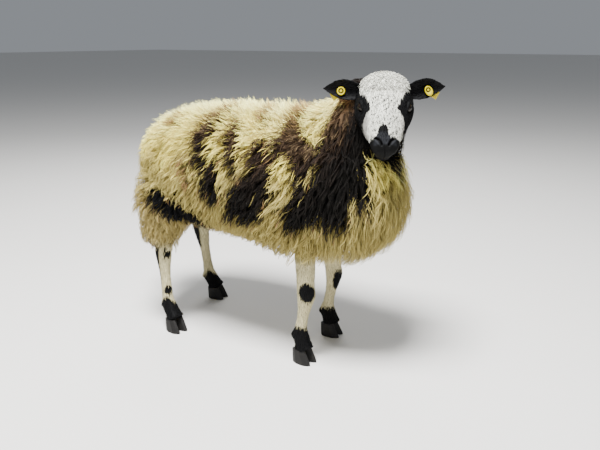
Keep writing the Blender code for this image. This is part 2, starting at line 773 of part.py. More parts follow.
def poll_clumps(head, catch):
    """Short curly wool as small clumps over the poll and forehead."""
    along, left, up = head_axes()
    poll = head_place(0, 0, 0)
    draw = random.Random(POLL_SEED)

    def on_poll(p):
        far, out, across = (p - poll).dot(along), (p - poll).dot(up), abs((p - poll).dot(left))
        return far < POLL_REACH[0] and out > POLL_REACH[1] and across < POLL_REACH[2]

    return [add_object("clump", lock_mesh(catch, p, n, draw, POLL_CLUMP, poll_depth, poll_lie),
                       "face") for p, n in scattered(head, POLL_SPACING, draw, on_poll)]


def poll_depth(p):
    return POLL_WOOL


def poll_lie(p, normal):
    """The forehead wool lies forward and down the face, spreading a little sideways."""
    along, left, _ = head_axes()
    across = (p - head_place(0, 0, 0)).dot(left)
    way = along + left * (across * POLL_SPREAD)
    way -= normal * way.dot(normal)
    return way.normalized()


def ring_mesh(name, ring, out, thick):
    """A closed loop of round section through the points of a ring."""
    count, sides = len(ring), 5
    points, faces = [], []
    middle = sum(ring, Vector()) / count
    for p in ring:
        away = (p - middle).normalized()
        for k in range(sides):
            a = math.tau * k / sides
            points.append(p + away * (thick * math.cos(a)) + out * (thick * math.sin(a)))
    for i in range(count):
        for k in range(sides):
            a, b = i * sides + k, i * sides + (k + 1) % sides
            c, d = (i + 1) % count * sides + k, (i + 1) % count * sides + (k + 1) % sides
            faces.append((a, c, d, b))
    mesh = bpy.data.meshes.new(name)
    mesh.from_pydata([tuple(p) for p in points], [], faces)
    shape = bmesh.new()
    shape.from_mesh(mesh)
    bmesh.ops.recalc_face_normals(shape, faces=shape.faces)
    bmesh.ops.triangulate(shape, faces=shape.faces)
    if shape.calc_volume(signed=True) < 0:
        bmesh.ops.reverse_faces(shape, faces=shape.faces)
    shape.to_mesh(mesh)
    shape.free()
    return mesh


def ball(name, middle, radius):
    mesh = bpy.data.meshes.new(name)
    shape = bmesh.new()
    bmesh.ops.create_uvsphere(shape, u_segments=12, v_segments=7, radius=radius)
    bmesh.ops.translate(shape, verts=shape.verts, vec=middle)
    shape.to_mesh(mesh)
    shape.free()
    return add_object(name, mesh, "eye")


def as_cutter(made):
    """Shown as wires and never rendered, for a piece that only cuts others."""
    made.display_type = "WIRE"
    made.hide_render = True
    return made


def mouth_cutter(catch):
    """A thin wedge round the muzzle, deepest at its inner edge."""
    up = head_axes()[2]
    rings = []
    for point, normal in mouth_path(catch, 0.0):
        inner = point - normal * MOUTH_DEPTH
        outer = point + normal * MOUTH_DEPTH
        rings.append([outer + up * MOUTH_OPEN, inner, outer - up * MOUTH_OPEN])
    return as_cutter(add_object("mouth_cut", closed_mesh("mouth_cut", rings), "black_hair"))


def nostril_cutter(catch, side):
    """A comma shaped hollow, wide outside and narrow towards the middle."""
    along, left, up = head_axes()
    start = head_place(MOUTH_FROM, 0, 0)
    ends = []
    for far, across, out in (NOSTRIL_OUTER, NOSTRIL_INNER):
        way = (along * far + left * (side * across) + up * out).normalized()
        hit, face_normal, _, _ = catch.ray_cast(start, way)
        ends.append(hit - face_normal * NOSTRIL_SUNK)
    path = [ends[0] + (ends[1] - ends[0]) * share for share in NOSTRIL_WAY]
    path[1] += left * (side * NOSTRIL_CURL)
    sizes = [NOSTRIL_RADIUS * share for share in NOSTRIL_WIDE]
    made = add_object("nostril_cut", sweep_mesh("nostril_cut", path, sizes), "black_hair")
    return as_cutter(made)


def ear_axes(side):
    """Out along the ear, up across it, and out of its open face."""
    a = math.radians(HEAD_HEADING)
    ahead = Vector((math.cos(a), math.sin(a), 0))
    left = head_axes()[1]
    out = (left * side + Vector((0, 0, EAR_LIFT[side])) - ahead * EAR_BACK).normalized()
    face = ahead - Vector((0, 0, EAR_TILT))
    face = (face - out * face.dot(out)).normalized()
    return out, face.cross(out).normalized() * side, face


def ear_half(u):
    """Half the ear's height: narrow at the root, full in the middle, pointed at the tip."""
    grown = min(u / EAR_FULL, 1.0)
    narrowed = max((u - EAR_NARROW) / (1 - EAR_NARROW), 0.0) ** EAR_TIP_POWER
    share = EAR_NECK + (1 - EAR_NECK) * math.sin(math.pi / 2 * grown)
    return max(EAR_HALF * share * (1 - narrowed), EAR_WALL / 2)


def ear_point(side, u, v, lift):
    """A point on the ear: u along it, v across from -1 to 1, lift off its inner face."""
    out, tall, face = ear_axes(side)
    root = head_place(EAR_ROOT[0], side * EAR_ROOT[1], EAR_ROOT[2])
    bend = EAR_CUP[0] - EAR_CUP[1] * u
    radius = ear_half(u) / math.sin(bend)
    a = v * bend
    centre = root + out * (EAR_LENGTH * u) + tall * (EAR_SAG * math.sin(math.pi * u))
    across = tall * (radius * math.sin(a)) + face * (radius * (1 - math.cos(a)))
    inward = (face * math.cos(a) - tall * math.sin(a)).normalized()
    return centre + across + inward * lift


def build_ear(side, head_clear):
    name = "ear_left" if side > 0 else "ear_right"
    steps, half_steps = 9, 3
    rings = []
    for i in range(steps + 1):
        u = i / steps
        wall = EAR_WALL * (1 - EAR_THINNED * u)
        ring = [ear_point(side, u, j / half_steps, wall / 2)
                for j in range(-half_steps, half_steps + 1)]
        ring += [ear_point(side, u, j / half_steps, -wall / 2)
                 for j in range(half_steps, -half_steps - 1, -1)]
        rings.append(ring)
    count = len(rings[0])
    points = [p for ring in rings for p in ring]
    faces = []
    for r in range(steps):
        for i in range(count):
            j = (i + 1) % count
            a, b = r * count + i, r * count + j
            faces += [(a, b, b + count), (a, b + count, a + count)]
    for base in (0, steps * count):
        for j in range(half_steps * 2):
            a, b = base + j, base + j + 1
            c, d = base + count - 1 - j, base + count - 2 - j
            faces += [(a, b, d), (a, d, c)] if base else [(b, a, d), (d, a, c)]
    mesh = bpy.data.meshes.new(name)
    mesh.from_pydata([tuple(p) for p in points], [], faces)
    shape = bmesh.new()
    shape.from_mesh(mesh)
    bmesh.ops.recalc_face_normals(shape, faces=shape.faces)
    if shape.calc_volume(signed=True) < 0:
        bmesh.ops.reverse_faces(shape, faces=shape.faces)
    shape.to_mesh(mesh)
    shape.free()
    ear = add_object(name, mesh, "black_hair")
    hole = stem_hole(side)
    boolean(ear, "DIFFERENCE", [hole, copy_of(head_clear, "head_cut")])
    keep_largest(ear)
    return ear


def tag_axis(side):
    """The tag's middle on the ear and its direction out of the ear's open face."""
    across = -TAG_DOWN / EAR_HALF
    front = ear_point(side, TAG_ALONG, across, 0.0)
    lifted = ear_point(side, TAG_ALONG, across, EAR_WALL)
    return front, (lifted - front).normalized()


def stem_hole(side):
    """The hole that the tag's stem goes through, with a little play round it."""
    middle, way = tag_axis(side)
    reach = way * (EAR_WALL * 4)
    size = TAG_STEM + GAP * 2
    mesh = sweep_mesh("stem_hole", [middle - reach, middle + reach], [size, size], sides=8)
    return as_cutter(add_object("stem_hole", mesh, "tag"))


def hang_axes(side, part):
    """How a tag part hangs on its stem: along its length, swung outwards, and across."""
    out, tall, _ = ear_axes(side)
    way = tag_axis(side)[1]
    swing = math.radians(TAG_SWING[part])
    hang = out * math.sin(swing) - tall * math.cos(swing)
    hang = (hang - way * hang.dot(way)).normalized()
    return hang, way.cross(hang)


def build_tag_front(side, name):
    """The front part: a moulded disc or oval with a raised rim, a recess and a stud."""
    middle, way = tag_axis(side)
    hang, across = hang_axes(side, "front")
    stand, half, stretch, slide = TAG_FRONT[side]
    loops = []
    for rise, share in TAG_SECTION:
        outer = share > TAG_SLIDES
        centre = middle + way * (stand + TAG_THICK * rise) + hang * (slide if outer else 0.0)
        long = half * share * (stretch if outer else 1.0)
        loops.append([centre + across * (half * share * math.cos(math.tau * k / TAG_POINTS)) +
                      hang * (long * math.sin(math.tau * k / TAG_POINTS))
                      for k in range(TAG_POINTS)])
    front = add_object(name, closed_mesh(name, loops), "tag")
    keep_largest(front)


def build_tag_rear(side, name):
    """The rear part: a plain panel with a rounded head on the stem."""
    middle, way = tag_axis(side)
    hang, across = hang_axes(side, "rear")
    wide, long, thick = TAG_PANEL
    outline = [across * (-wide / 2 * math.cos(math.pi * k / 6)) -
               hang * (wide / 2 * math.sin(math.pi * k / 6)) for k in range(7)]
    outline += [across * (wide / 2) + hang * long, across * (-wide / 2) + hang * long]
    loops = [[middle + p - way * depth for p in outline]
             for depth in (TAG_BEHIND + thick, TAG_BEHIND)]
    rear = add_object(name, closed_mesh(name, loops), "tag")
    path = [middle - way * (TAG_BEHIND + thick / 2), middle + way * (TAG_FRONT[side][0] - GAP)]
    stem = sweep_mesh("stem", path, [TAG_STEM, TAG_STEM], sides=8)
    boolean(rear, "UNION", [add_object("stem", stem, "tag")])
    keep_largest(rear)


def build_tag(side):
    """A two piece ear tag, a part on each face of the ear."""
    word = "left" if side > 0 else "right"
    parts = [f"ear_tag_{word}_front", f"ear_tag_{word}_rear"]
    build_tag_front(side, parts[0])
    build_tag_rear(side, parts[1])
    return [bpy.data.objects[name] for name in parts]


def build_fleece(solids, head_clear):
    """Core and coat of trunk, neck and thighs in one body, then parted into nodes."""
    trunk, neck = trunk_tube(), neck_tube()
    thighs = [thigh_tube(side) for side in (1, -1)]
    core = tube_mesh("trunk", trunk, CORE_SHARE)
    body = add_object("fleece", core, "fleece")
    pieces = [tube_mesh("neck", neck, CORE_SHARE)]
    pieces += [tube_mesh("thigh", thigh, CORE_SHARE) for thigh in thighs]
    pieces = [add_object("core", mesh, "fleece") for mesh in pieces]
    pieces += fleece_locks(trunk, neck, thighs)
    boolean(body, "UNION", pieces)
    keep_largest(body)
    cutters = [swollen(solid, GAP) for solid in solids]
    cutters.append(copy_of(head_clear, "head_cut"))
    boolean(body, "DIFFERENCE", cutters)
    part_fleece(body)


def part_fleece(body):
    """The whole fleece cut by thin gaps into the parts that a person would name."""
    h, far = GAP / 2, FAR
    rear, front = TRUNK_CUT_REAR, TRUNK_CUT_FRONT
    before = (front + h, -far, -far), (far, far, far)
    cut_out(body, "thigh_right", [box_object((-far, -far, -far), (rear - h, -h, THIGH_TOP - h))])
    cut_out(body, "thigh_left", [box_object((-far, h, -far), (rear - h, far, THIGH_TOP - h))])
    cut_out(body, "rump", [box_object((-far, -far, THIGH_TOP + h), (rear - h, far, far))])
    cut_out(body, "barrel", [box_object((rear + h, -far, -far), (front - h, far, far))])
    cut_out(body, "chest", [box_object(*before), neck_zone(-h, -far)])
    cut_out(body, "neck", [box_object(*before), neck_zone(h, far)])
    bpy.data.objects.remove(body)
    bpy.data.objects["neck"].data.materials[0] = material("dark_fleece")


def neck_zone(inset, end):
    """Everything above the slanted cut between the chest and the neck, or everything below."""
    profile = [(x, z + inset) for x, z in NECK_CUT] + [(NECK_CUT[-1][0], end),
                                                       (NECK_CUT[0][0], end)]
    rings = [[Vector((x, y, z)) for x, z in profile] for y in (-1.0, 1.0)]
    return as_cutter(add_object("zone", closed_mesh("zone", rings), "fleece"))


def cut_out(body, name, zones):
    """The part of the body that lies in all the zones, as a node of its own."""
    part = copy_of(body, name)
    for zone in zones:
        boolean(part, "INTERSECT", [zone])
    keep_largest(part)


def bears_locks(p):
    """Where the long wool grows: not inside the legs' sockets or under the head."""
    return not (p.x > BARE_FROM[0] and p.z > BARE_FROM[1])


def fleece_locks(trunk, neck, thighs):
    """Locks spread evenly over the skin, overlapping down and back."""
    draw = random.Random(LOCK_SEED)
    skin = add_object("skin", tube_mesh("trunk_skin", trunk), "fleece")
    others = [tube_mesh("neck_skin", neck)]
    others += [tube_mesh("thigh_skin", thigh) for thigh in thighs]
    boolean(skin, "UNION", [add_object("skin_part", mesh, "fleece") for mesh in others])
    keep_largest(skin)
    catch = surface_of(skin)
    locks = []
    for root, normal in scattered(skin, LOCK_SPACING, draw, bears_locks):
        locks.append(add_object("lock", lock_mesh(catch, root, normal, draw), "fleece"))
    bpy.data.objects.remove(skin)
    return locks


def build_tail():
    """The short tail, with small locks hanging down it."""
    tube = Tube(TAIL_ROWS, (0, 1, 0))
    tail = add_object("tail", tube_mesh("tail", tube), "fleece")
    draw = random.Random(TAIL_SEED)
    catch = surface_of(tail)
    spots = scattered(tail, TAIL_SPACING, draw,
                      lambda p: p.x < TAIL_BARE[0] and p.z > TAIL_BARE[1])
    locks = [add_object("lock", lock_mesh(catch, p, n, draw, TAIL_LOCK, tail_depth), "fleece")
             for p, n in spots]
    boolean(tail, "UNION", locks)
    keep_largest(tail)
    return tail


def tail_depth(p):
    return TAIL_WOOL


def centre_all():
    """The whole model moved so that its box stands centred on the origin."""
    lows, highs = Vector((9, 9, 9)), Vector((-9, -9, -9))
    parts = [o for o in bpy.context.scene.objects if o.type == "MESH"]
    for part in parts:
        for v in part.data.vertices:
            for k in range(3):
                lows[k] = min(lows[k], v.co[k])
                highs[k] = max(highs[k], v.co[k])
    shift = Vector((-(lows.x + highs.x) / 2, -(lows.y + highs.y) / 2, 0))
    for part in parts:
        for v in part.data.vertices:
            v.co += shift


def main():
    for old in list(bpy.data.objects):
        bpy.data.objects.remove(old)
    legs = build_legs()
    build_claws()
    head = build_head()
    head_clear = swollen(head, GAP)
    solids = list(legs.values())
    for side in (1, -1):
        solids += [build_ear(side, head_clear), *build_tag(side)]
    solids.append(build_tail())
    build_fleece(solids, head_clear)
    bpy.data.objects.remove(head_clear)
    centre_all()


main()
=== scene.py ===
# Dutch Spotted ram lamb: skin, fleece, short hair, eyes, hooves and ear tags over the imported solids.
# Metres, +X towards the chest, +Y the animal's left, +Z up. The places are the ones of the solids.

import math

import bpy
import bmesh
import numpy as np
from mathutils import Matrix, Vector
from mathutils.bvhtree import BVHTree


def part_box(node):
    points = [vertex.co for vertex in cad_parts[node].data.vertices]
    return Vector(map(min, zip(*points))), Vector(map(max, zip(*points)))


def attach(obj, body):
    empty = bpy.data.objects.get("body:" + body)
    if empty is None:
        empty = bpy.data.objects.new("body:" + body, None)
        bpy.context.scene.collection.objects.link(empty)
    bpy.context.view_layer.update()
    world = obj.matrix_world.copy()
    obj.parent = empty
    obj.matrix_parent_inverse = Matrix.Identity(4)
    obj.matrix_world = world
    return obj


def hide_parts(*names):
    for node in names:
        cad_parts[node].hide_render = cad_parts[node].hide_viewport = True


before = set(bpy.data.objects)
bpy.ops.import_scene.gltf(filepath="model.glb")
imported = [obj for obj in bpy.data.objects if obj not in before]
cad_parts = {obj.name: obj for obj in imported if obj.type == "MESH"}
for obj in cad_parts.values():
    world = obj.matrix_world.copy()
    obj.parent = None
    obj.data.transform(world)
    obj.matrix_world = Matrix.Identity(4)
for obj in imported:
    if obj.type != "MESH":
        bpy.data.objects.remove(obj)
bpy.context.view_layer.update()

# Near front foot on the floor, in the numbers that the rows below use
FOOT_AT = Vector((0.258, -0.0995, 0.0))

# Camera of the photograph, in the same numbers: place, level heading, dip, lens in mm
CAMERA_AT = Vector((1.17, -1.54, 0.90))
LOOK_X = -0.542
LOOK_Y = 0.841
CAMERA_DIP = math.radians(16.0)
CAMERA_LENS = 39.0

# Trunk skin: x, middle height, half width, rise, drop, fleece depth
TRUNK_ROWS = [
    (-0.362, 0.503, 0.018, 0.020, 0.022, 0.038),
    (-0.350, 0.504, 0.048, 0.044, 0.060, 0.040),
    (-0.318, 0.511, 0.086, 0.084, 0.106, 0.042),
    (-0.252, 0.522, 0.122, 0.121, 0.137, 0.044),
    (-0.150, 0.527, 0.146, 0.139, 0.152, 0.047),
    (-0.020, 0.525, 0.155, 0.149, 0.154, 0.050),
    (0.110, 0.520, 0.150, 0.153, 0.162, 0.053),
    (0.220, 0.512, 0.144, 0.160, 0.181, 0.058),
    (0.310, 0.509, 0.130, 0.146, 0.165, 0.058),
    (0.382, 0.520, 0.104, 0.120, 0.136, 0.056),
    (0.432, 0.534, 0.068, 0.078, 0.092, 0.054),
    (0.454, 0.540, 0.024, 0.028, 0.034, 0.054),
]
# Neck skin: x, y, z, half width, rise, drop, fleece depth
NECK_ROWS = [
    (0.245, 0.000, 0.545, 0.050, 0.060, 0.050, 0.050),
    (0.270, 0.000, 0.575, 0.100, 0.100, 0.095, 0.050),
    (0.324, 0.008, 0.632, 0.098, 0.084, 0.098, 0.052),
    (0.370, 0.020, 0.696, 0.090, 0.070, 0.084, 0.044),
    (0.398, 0.028, 0.752, 0.083, 0.062, 0.068, 0.034),
    (0.408, 0.028, 0.770, 0.068, 0.044, 0.052, 0.026),
    (0.412, 0.026, 0.782, 0.034, 0.018, 0.024, 0.020),
]
# Thigh skin on the right side: x, y, z, half width, front half, rear half, wool depth
THIGH_ROWS = [
    (-0.235, -0.060, 0.500, 0.030, 0.040, 0.040, 0.040),
    (-0.238, -0.075, 0.470, 0.062, 0.085, 0.085, 0.040),
    (-0.248, -0.098, 0.400, 0.058, 0.078, 0.072, 0.034),
    (-0.258, -0.118, 0.340, 0.046, 0.052, 0.052, 0.026),
    (-0.266, -0.128, 0.300, 0.032, 0.034, 0.036, 0.022),
    (-0.268, -0.130, 0.288, 0.014, 0.014, 0.014, 0.020),
]
# Tail skin: x, y, z, half width, rise, drop, wool depth
TAIL_ROWS = [
    (-0.352, 0.0, 0.585, 0.018, 0.014, 0.012, 0.012),
    (-0.396, 0.0, 0.555, 0.022, 0.015, 0.013, 0.012),
    (-0.417, 0.0, 0.500, 0.022, 0.014, 0.012, 0.012),
    (-0.420, 0.0, 0.450, 0.017, 0.011, 0.010, 0.012),
    (-0.417, 0.0, 0.424, 0.009, 0.007, 0.006, 0.010),
]
# Lower legs: height, forward offset, inward offset, half width, front half, rear half
FRONT_LEG_ROWS = [
    (0.352, 0.002, 0.006, 0.026, 0.030, 0.032),
    (0.280, 0.005, 0.004, 0.023, 0.027, 0.027),
    (0.232, 0.007, 0.002, 0.022, 0.025, 0.023),
    (0.205, 0.009, 0.001, 0.024, 0.026, 0.022),
    (0.178, 0.006, 0.000, 0.018, 0.020, 0.019),
    (0.140, 0.000, 0.000, 0.013, 0.014, 0.016),
    (0.105, -0.006, 0.000, 0.014, 0.015, 0.018),
    (0.082, -0.008, 0.000, 0.020, 0.020, 0.024),
    (0.060, -0.001, 0.000, 0.021, 0.021, 0.023),
    (0.030, 0.004, 0.000, 0.026, 0.026, 0.026),
]
HIND_LEG_ROWS = [
    (0.330, -0.034, 0.016, 0.026, 0.034, 0.034),
    (0.290, -0.041, 0.012, 0.023, 0.028, 0.032),
    (0.255, -0.046, 0.008, 0.021, 0.024, 0.032),
    (0.225, -0.045, 0.006, 0.019, 0.021, 0.025),
    (0.180, -0.040, 0.003, 0.014, 0.015, 0.018),
    (0.130, -0.034, 0.001, 0.014, 0.015, 0.017),
    (0.100, -0.030, 0.000, 0.016, 0.017, 0.019),
    (0.082, -0.025, 0.000, 0.020, 0.020, 0.024),
    (0.060, -0.011, 0.000, 0.021, 0.021, 0.023),
    (0.030, 0.002, 0.000, 0.026, 0.026, 0.026),
]
# Feet: middle of each hoof on the floor (x, y), and its heading in degrees
FEET = {
    "front_right": (0.252, -0.099, -6.0),
    "front_left": (0.227, 0.100, 4.0),
    "hind_right": (-0.205, -0.144, -8.0),
    "hind_left": (-0.274, 0.144, 6.0),
}
# Height where the bare leg ends over the hoof
PASTERN_TOP = 0.0400
# Small claws behind the fetlock: half width, length, height, the leg row that they stand on,
# how deep they sit in it and how far to the side
DEWCLAW = (0.0075, 0.0100, 0.014)
DEWCLAW_ROW = 7
DEWCLAW_SINK = 0.80
DEWCLAW_ASIDE = 0.010

# Head: middle, heading and dip of the face, length poll to muzzle
HEAD_MIDDLE = Vector((0.470, -0.070, 0.716))
HEAD_HEADING = math.radians(-61.0)
FACE_DIP = math.radians(55.0)
HEAD_LENGTH = 0.224
# Distance from the poll, half width, rise to the forehead, drop to the jaw, pinch of the bridge
HEAD_ROWS = [
    (0.000, 0.012, 0.012, 0.016, 0.00),
    (0.005, 0.034, 0.027, 0.042, 0.00),
    (0.022, 0.056, 0.043, 0.070, 0.02),
    (0.047, 0.067, 0.048, 0.083, 0.08),
    (0.077, 0.072, 0.047, 0.087, 0.18),
    (0.107, 0.070, 0.046, 0.082, 0.28),
    (0.134, 0.059, 0.046, 0.069, 0.28),
    (0.162, 0.047, 0.044, 0.055, 0.14),
    (0.185, 0.041, 0.039, 0.045, 0.05),
    (0.204, 0.039, 0.033, 0.041, 0.02),
    (0.216, 0.031, 0.024, 0.033, 0.00),
    (0.222, 0.018, 0.013, 0.019, 0.00),
    (0.224, 0.006, 0.004, 0.006, 0.00),
]
# Eyes: place on the head, outward direction to the side, out and along, and radius
EYE_AT = (0.096, 0.0530, 0.0155)
EYE_OUT = (0.86, 0.36, 0.24)
EYE_RADIUS = 0.0130
# The ball is this much smaller than its place, and its clear front bulges by this share
EYE_SLACK = 0.0002
CORNEA_BULGE = 0.05
# Share of the radius where the iris ends, and half width and half height of the pupil
IRIS_EDGE = (0.60, 0.64)
IRIS_RIM = 0.61
PUPIL = (0.0052, 0.0021)
# Eyelids: half width and half height of their opening, share of the radius that they stand out,
# how far the corners lie back, thickness and what the upper lid adds to it
LID_WIDE = 0.0148
LID_TALL = 0.0100
LID_STAND = 0.60
LID_CORNER = 0.0036
LID_THICK = 0.0027
LID_UPPER = 0.0006
# Opening that is pressed into the skin behind the lids: half width, half height, slack
SOCKET_WIDE = 0.0128
SOCKET_TALL = 0.0080
SOCKET_SINK = 0.0022
# Skin round the middle of an eye that is black all through
SOCKET_REACH = 0.020
# Ears: root on the head, length, half height, wall and the share of it that the tip loses,
# lift of each side, sweep back and tilt of the open face; the skin past its foot is black
EAR_ROOT = (0.046, 0.048, 0.004)
EAR_FOOT = 0.058
EAR_LENGTH = 0.106
EAR_HALF = 0.0245
EAR_WALL = 0.0028
EAR_THINS = 0.40
EAR_LIFT = {1: 0.12, -1: 0.06}
EAR_BACK = 0.16
EAR_TILT = 0.12
# Height at the root against the middle, where it is full, where it starts to narrow
EAR_NECK = 0.44
EAR_FULL = 0.40
EAR_NARROW = 0.50
EAR_TIP_POWER = 1.7
# Half angle that the ear is cupped by, at the root and lost to the tip, and its sag
EAR_CUP = (1.25, 0.75)
EAR_SAG = 0.004
# Ear tags: place along the ear and below its middle line, thickness, swing of the front part
TAG_ALONG = 0.56
TAG_DOWN = 0.006
TAG_THICK = 0.0032
TAG_SWING = math.radians(25.0)
# Front part on each side: stand off the ear, half width, stretch and slide along its length
TAG_FRONT = {1: (0.0085, 0.0095, 1.40, 0.0030), -1: (0.0055, 0.0105, 1.0, 0.0)}

BODY_VOXEL = 0.0038
HEAD_VOXEL = 0.0012
# Rings along and corners round each form before they are fused
FORM_RINGS = {"trunk": (60, 72), "neck": (40, 60), "tail": (30, 28), "thigh": (36, 48),
              "leg": (80, 40), "head": (110, 120)}
LEVEL = (0, 1, 0)
# How square the section of the head is; 2 is round
HEAD_POWER = 2.15

# Share of the fleece's depth where the skin lies
SKIN_SHARE = 0.30
# How near a point of the joined skin lies to the head it came from
SKIN_MATCH = 0.0001
# Staples of the fleece: length, distance apart, radius, and the locks in each
STAPLE_LENGTH = 0.043
STAPLE_SPACING = 0.0077
STAPLE_RADIUS = 0.0050
LOCKS_PER_STAPLE = 4
# A lock: half width, thickness against it, points along it, the one that it takes its colour
# at, length and height of its crimp.
# A wisp of that width holds hundreds of fibres of 0.03 mm, too fine to be drawn one by one.
LOCK_HALF = 0.00082
LOCK_THICK = 0.55
WOOL_STEPS = 6
PAINT_STEP = 4
CRIMP_WAVE = 0.011
CRIMP_SIZE = 0.0019
# Heights along a staple that lies on the side and one that stands on the back, in shares of its
# depth, at the places along it
STAPLE_AT = [0, 0.2, 0.4, 0.6, 0.8, 1]
LYING = [-0.10, 0.50, 0.82, 0.98, 1.02, 0.96]
STANDING = [-0.10, 0.40, 0.68, 0.88, 1.02, 1.14]
# Along a lock from root to tip: its width, how far it keeps from the middle of its staple, and
# its brightness, which is painted shade that darkens it towards the root
LOCK_TAPER = ([0, 0.3, 0.7, 0.9, 1], [0.9, 1.0, 0.85, 0.5, 0.0])
LOCK_GATHER = ([0, 0.4, 1], [1.0, 0.85, 0.34])
LOCK_ROOT_SHADE = ([0, 0.3, 0.6, 1], [0.55, 0.80, 1.0, 1.08])
# Upward turn of the skin at which a staple starts to stand and is shorter, and by how much
ON_BACK = (0.35, 0.85)
BACK_SHORTER = 0.42
# Where the longer staples of the chest start in x and end in z, and how much longer they are
CHEST_START = (0.20, 0.33)
CHEST_TOP = (0.62, 0.72)
CHEST_LONGER = 0.45
# Near the middle of the poll staples get shorter and lower: distances, and shares
POLL_MIDDLE = (0.02, 0.0, 0.0)
POLL_SHORTER = ([0.06, 0.16], [0.45, 1.0])
POLL_LOWER = ([0.09, 0.19], [0.10, 1.0])
# How far a staple strays from the way that the wool hangs, and how far it bends aside
STAPLE_STRAY = 0.30
STAPLE_BEND = 0.0035
# Share of the locks that stray, how far their tips do, and how much thinner those are
STRAY_SHARE = 0.07
STRAY_REACH = 0.010
STRAY_WIDTH = 0.6
# Brightness of the markings under a lock: below the first it is dark, over the second its tip is
# brown, over the third it is cream, and below the fourth black, with tips lighter by the gain
DARK_WOOL = 0.20
BROWN_WOOL = (0.05, 0.12)
CREAM_WOOL = (0.16, 0.24)
BLACK_WOOL = 0.025
BLACK_TIP_GAIN = 2.2
# Roots of dark wool and tips of cream wool against the markings; darker than the last value,
# the root keeps its colour
BROWN_ROOT = 0.55
CREAM_TIP = 1.04
BLACK_ROOT = 0.012
# Share of the dark locks whose tips are bleached all through, and where along them it starts
BLEACHED_SHARE = 0.40
BLEACH_FROM = (0.30, 0.85)
# Depth of the coat: at its rear end, what it gains to the chest, where that starts and how far
COAT_REAR = 0.044
COAT_GAIN = 0.014
COAT_START = -0.465
COAT_RUN = 0.80
# On the neck: where it starts in x and z, depth there, loss with height and least depth
NECK_X = 0.235
NECK_Z = 0.62
NECK_DEPTH = 0.056
NECK_LOSS = 0.20
NECK_LEAST = 0.026
# Low on the thigh: where that is, depth there, and shares of the full length of a staple
THIGH_FRONT = -0.195
THIGH_TOP = 0.405
THIGH_DEPTH = 0.024
THIGH_LENGTH = 0.70
# On the tail the same
TAIL_FRONT = -0.440
TAIL_DEPTH = 0.012
TAIL_LENGTH = 0.55
# How far back the wool leans as it hangs: on the sides, least, on the thigh, and where and how
# fast it straightens towards the chest
LEAN_SIDE = 0.58
LEAN_LEAST = 0.12
LEAN_THIGH = 0.15
LEAN_FROM = 0.155
LEAN_LOSS = 2.6
# What the head covers, without staples: past this x, over this z and right of this y, and a
# second field past x and over z; and the same two fields of the soft wool of the nape
HEAD_COVERS = (0.335, 0.700, 0.02)
HEAD_COVERS_TOP = (0.310, 0.785)
NAPE = (0.325, 0.690, 0.03)
NAPE_TOP = (0.270, 0.755)
# Heights over which the fleece grows, and between which the legs' short hair does
FLEECE_FOOT_FRONT = 0.345
FLEECE_FOOT_REAR = 0.285
LEG_HAIR_TOP_FRONT = 0.36
LEG_HAIR_TOP_REAR = 0.30
LEG_HAIR_FOOT = 0.045
# Curls of the poll: how far along the face, how low and how far to the side they grow
POLL_END = 0.060
POLL_LOW = -0.030
POLL_SIDE = 0.056
# Ears start this far to the side and end this far along; the hair of the face ends at the
# muzzle and this many half widths from a nostril
EAR_SIDE = 0.060
EAR_HAIR_SIDE = 0.062
EAR_END = 0.080
FACE_END = 0.190
NOSTRIL_BARE = 2.2
# Short tufts: distance apart, length, half width, height over the skin, tufts on each root,
# seed, size of the curl, and how far they stray from the way they lie
TUFTS = {
    "poll_curls": (0.0052, 0.0105, 0.00075, 0.0032, 5, 51, 0.0018, 0.9),
    "face_hair": (0.0036, 0.0080, 0.00065, 0.0010, 2, 52, 0.0, 0.2),
    "nape_wool": (0.0048, 0.018, 0.0008, 0.0060, 4, 55, 0.0016, 0.5),
    "ear_hair": (0.0045, 0.009, 0.0007, 0.0009, 2, 53, 0.0, 0.2),
    "leg_hair": (0.0050, 0.012, 0.0009, 0.0014, 2, 54, 0.0, 0.2),
}
# Along a tuft from root to tip: its height, width and brightness, which is painted shade that
# darkens it towards the root; then its thickness against its width, and how far its curl turns
# in radians
TUFT_HEIGHTS = np.array([-0.12, 0.55, 0.95, 1.0])
TUFT_WIDTHS = np.array([0.9, 1.0, 0.7, 0.0])
TUFT_ROOT_SHADE = np.array([0.55, 0.85, 1.0, 1.1])
TUFT_THICK = 0.45
TUFT_TURN = 5.0
QUICK_SPACING = 1
# Most triangles in one coat piece, the size of a lock's own patch on the unwrapped skin, the
# size of the trunk's chart there, and where the trunk starts and how long it is
PIECE_LIMIT = 195000
UV_PATCH = 0.003
TRUNK_CHART = 0.62
TRUNK_REACH = (-0.55, 1.1)

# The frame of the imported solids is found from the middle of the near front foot
claws = [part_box("front_right_hoof_" + place) for place in ("inner", "outer")]
foot_middle = Vector([(min(low[k] for low, _ in claws) + max(high[k] for _, high in claws)) / 2
                      for k in range(2)] + [0.0])
SHIFT = foot_middle - FOOT_AT
SHIFT.z = 0.0


def linear(code):
    """An sRGB hex colour as linear numbers."""
    parts = [int(code[i:i + 2], 16) / 255 for i in (0, 2, 4)]
    return np.array([c / 12.92 if c < 0.04045 else ((c + 0.055) / 1.055) ** 2.4 for c in parts])


def smooth(low, high, x):
    """0 below low, 1 above high, and a soft step between."""
    t = np.clip((np.asarray(x, float) - low) / (high - low), 0, 1)
    return t * t * (3 - 2 * t)


def unit(v):
    return v / np.maximum(np.linalg.norm(v, axis=-1, keepdims=True), 1e-9)


def dot(a, b):
    return np.sum(a * b, axis=-1)


def wander(p, size, seed):
    """Smooth noise from -1 to 1 that changes over the given size, at an array of points."""
    draw = np.random.default_rng(seed)
    total = np.zeros(len(p))
    for _ in range(7):
        way = unit(draw.normal(size=3))
        pace = draw.uniform(0.6, 1.7) * math.tau / size
        total += np.sin(p @ way * pace + draw.uniform(0, math.tau))
    return total / 3.2


# Forms


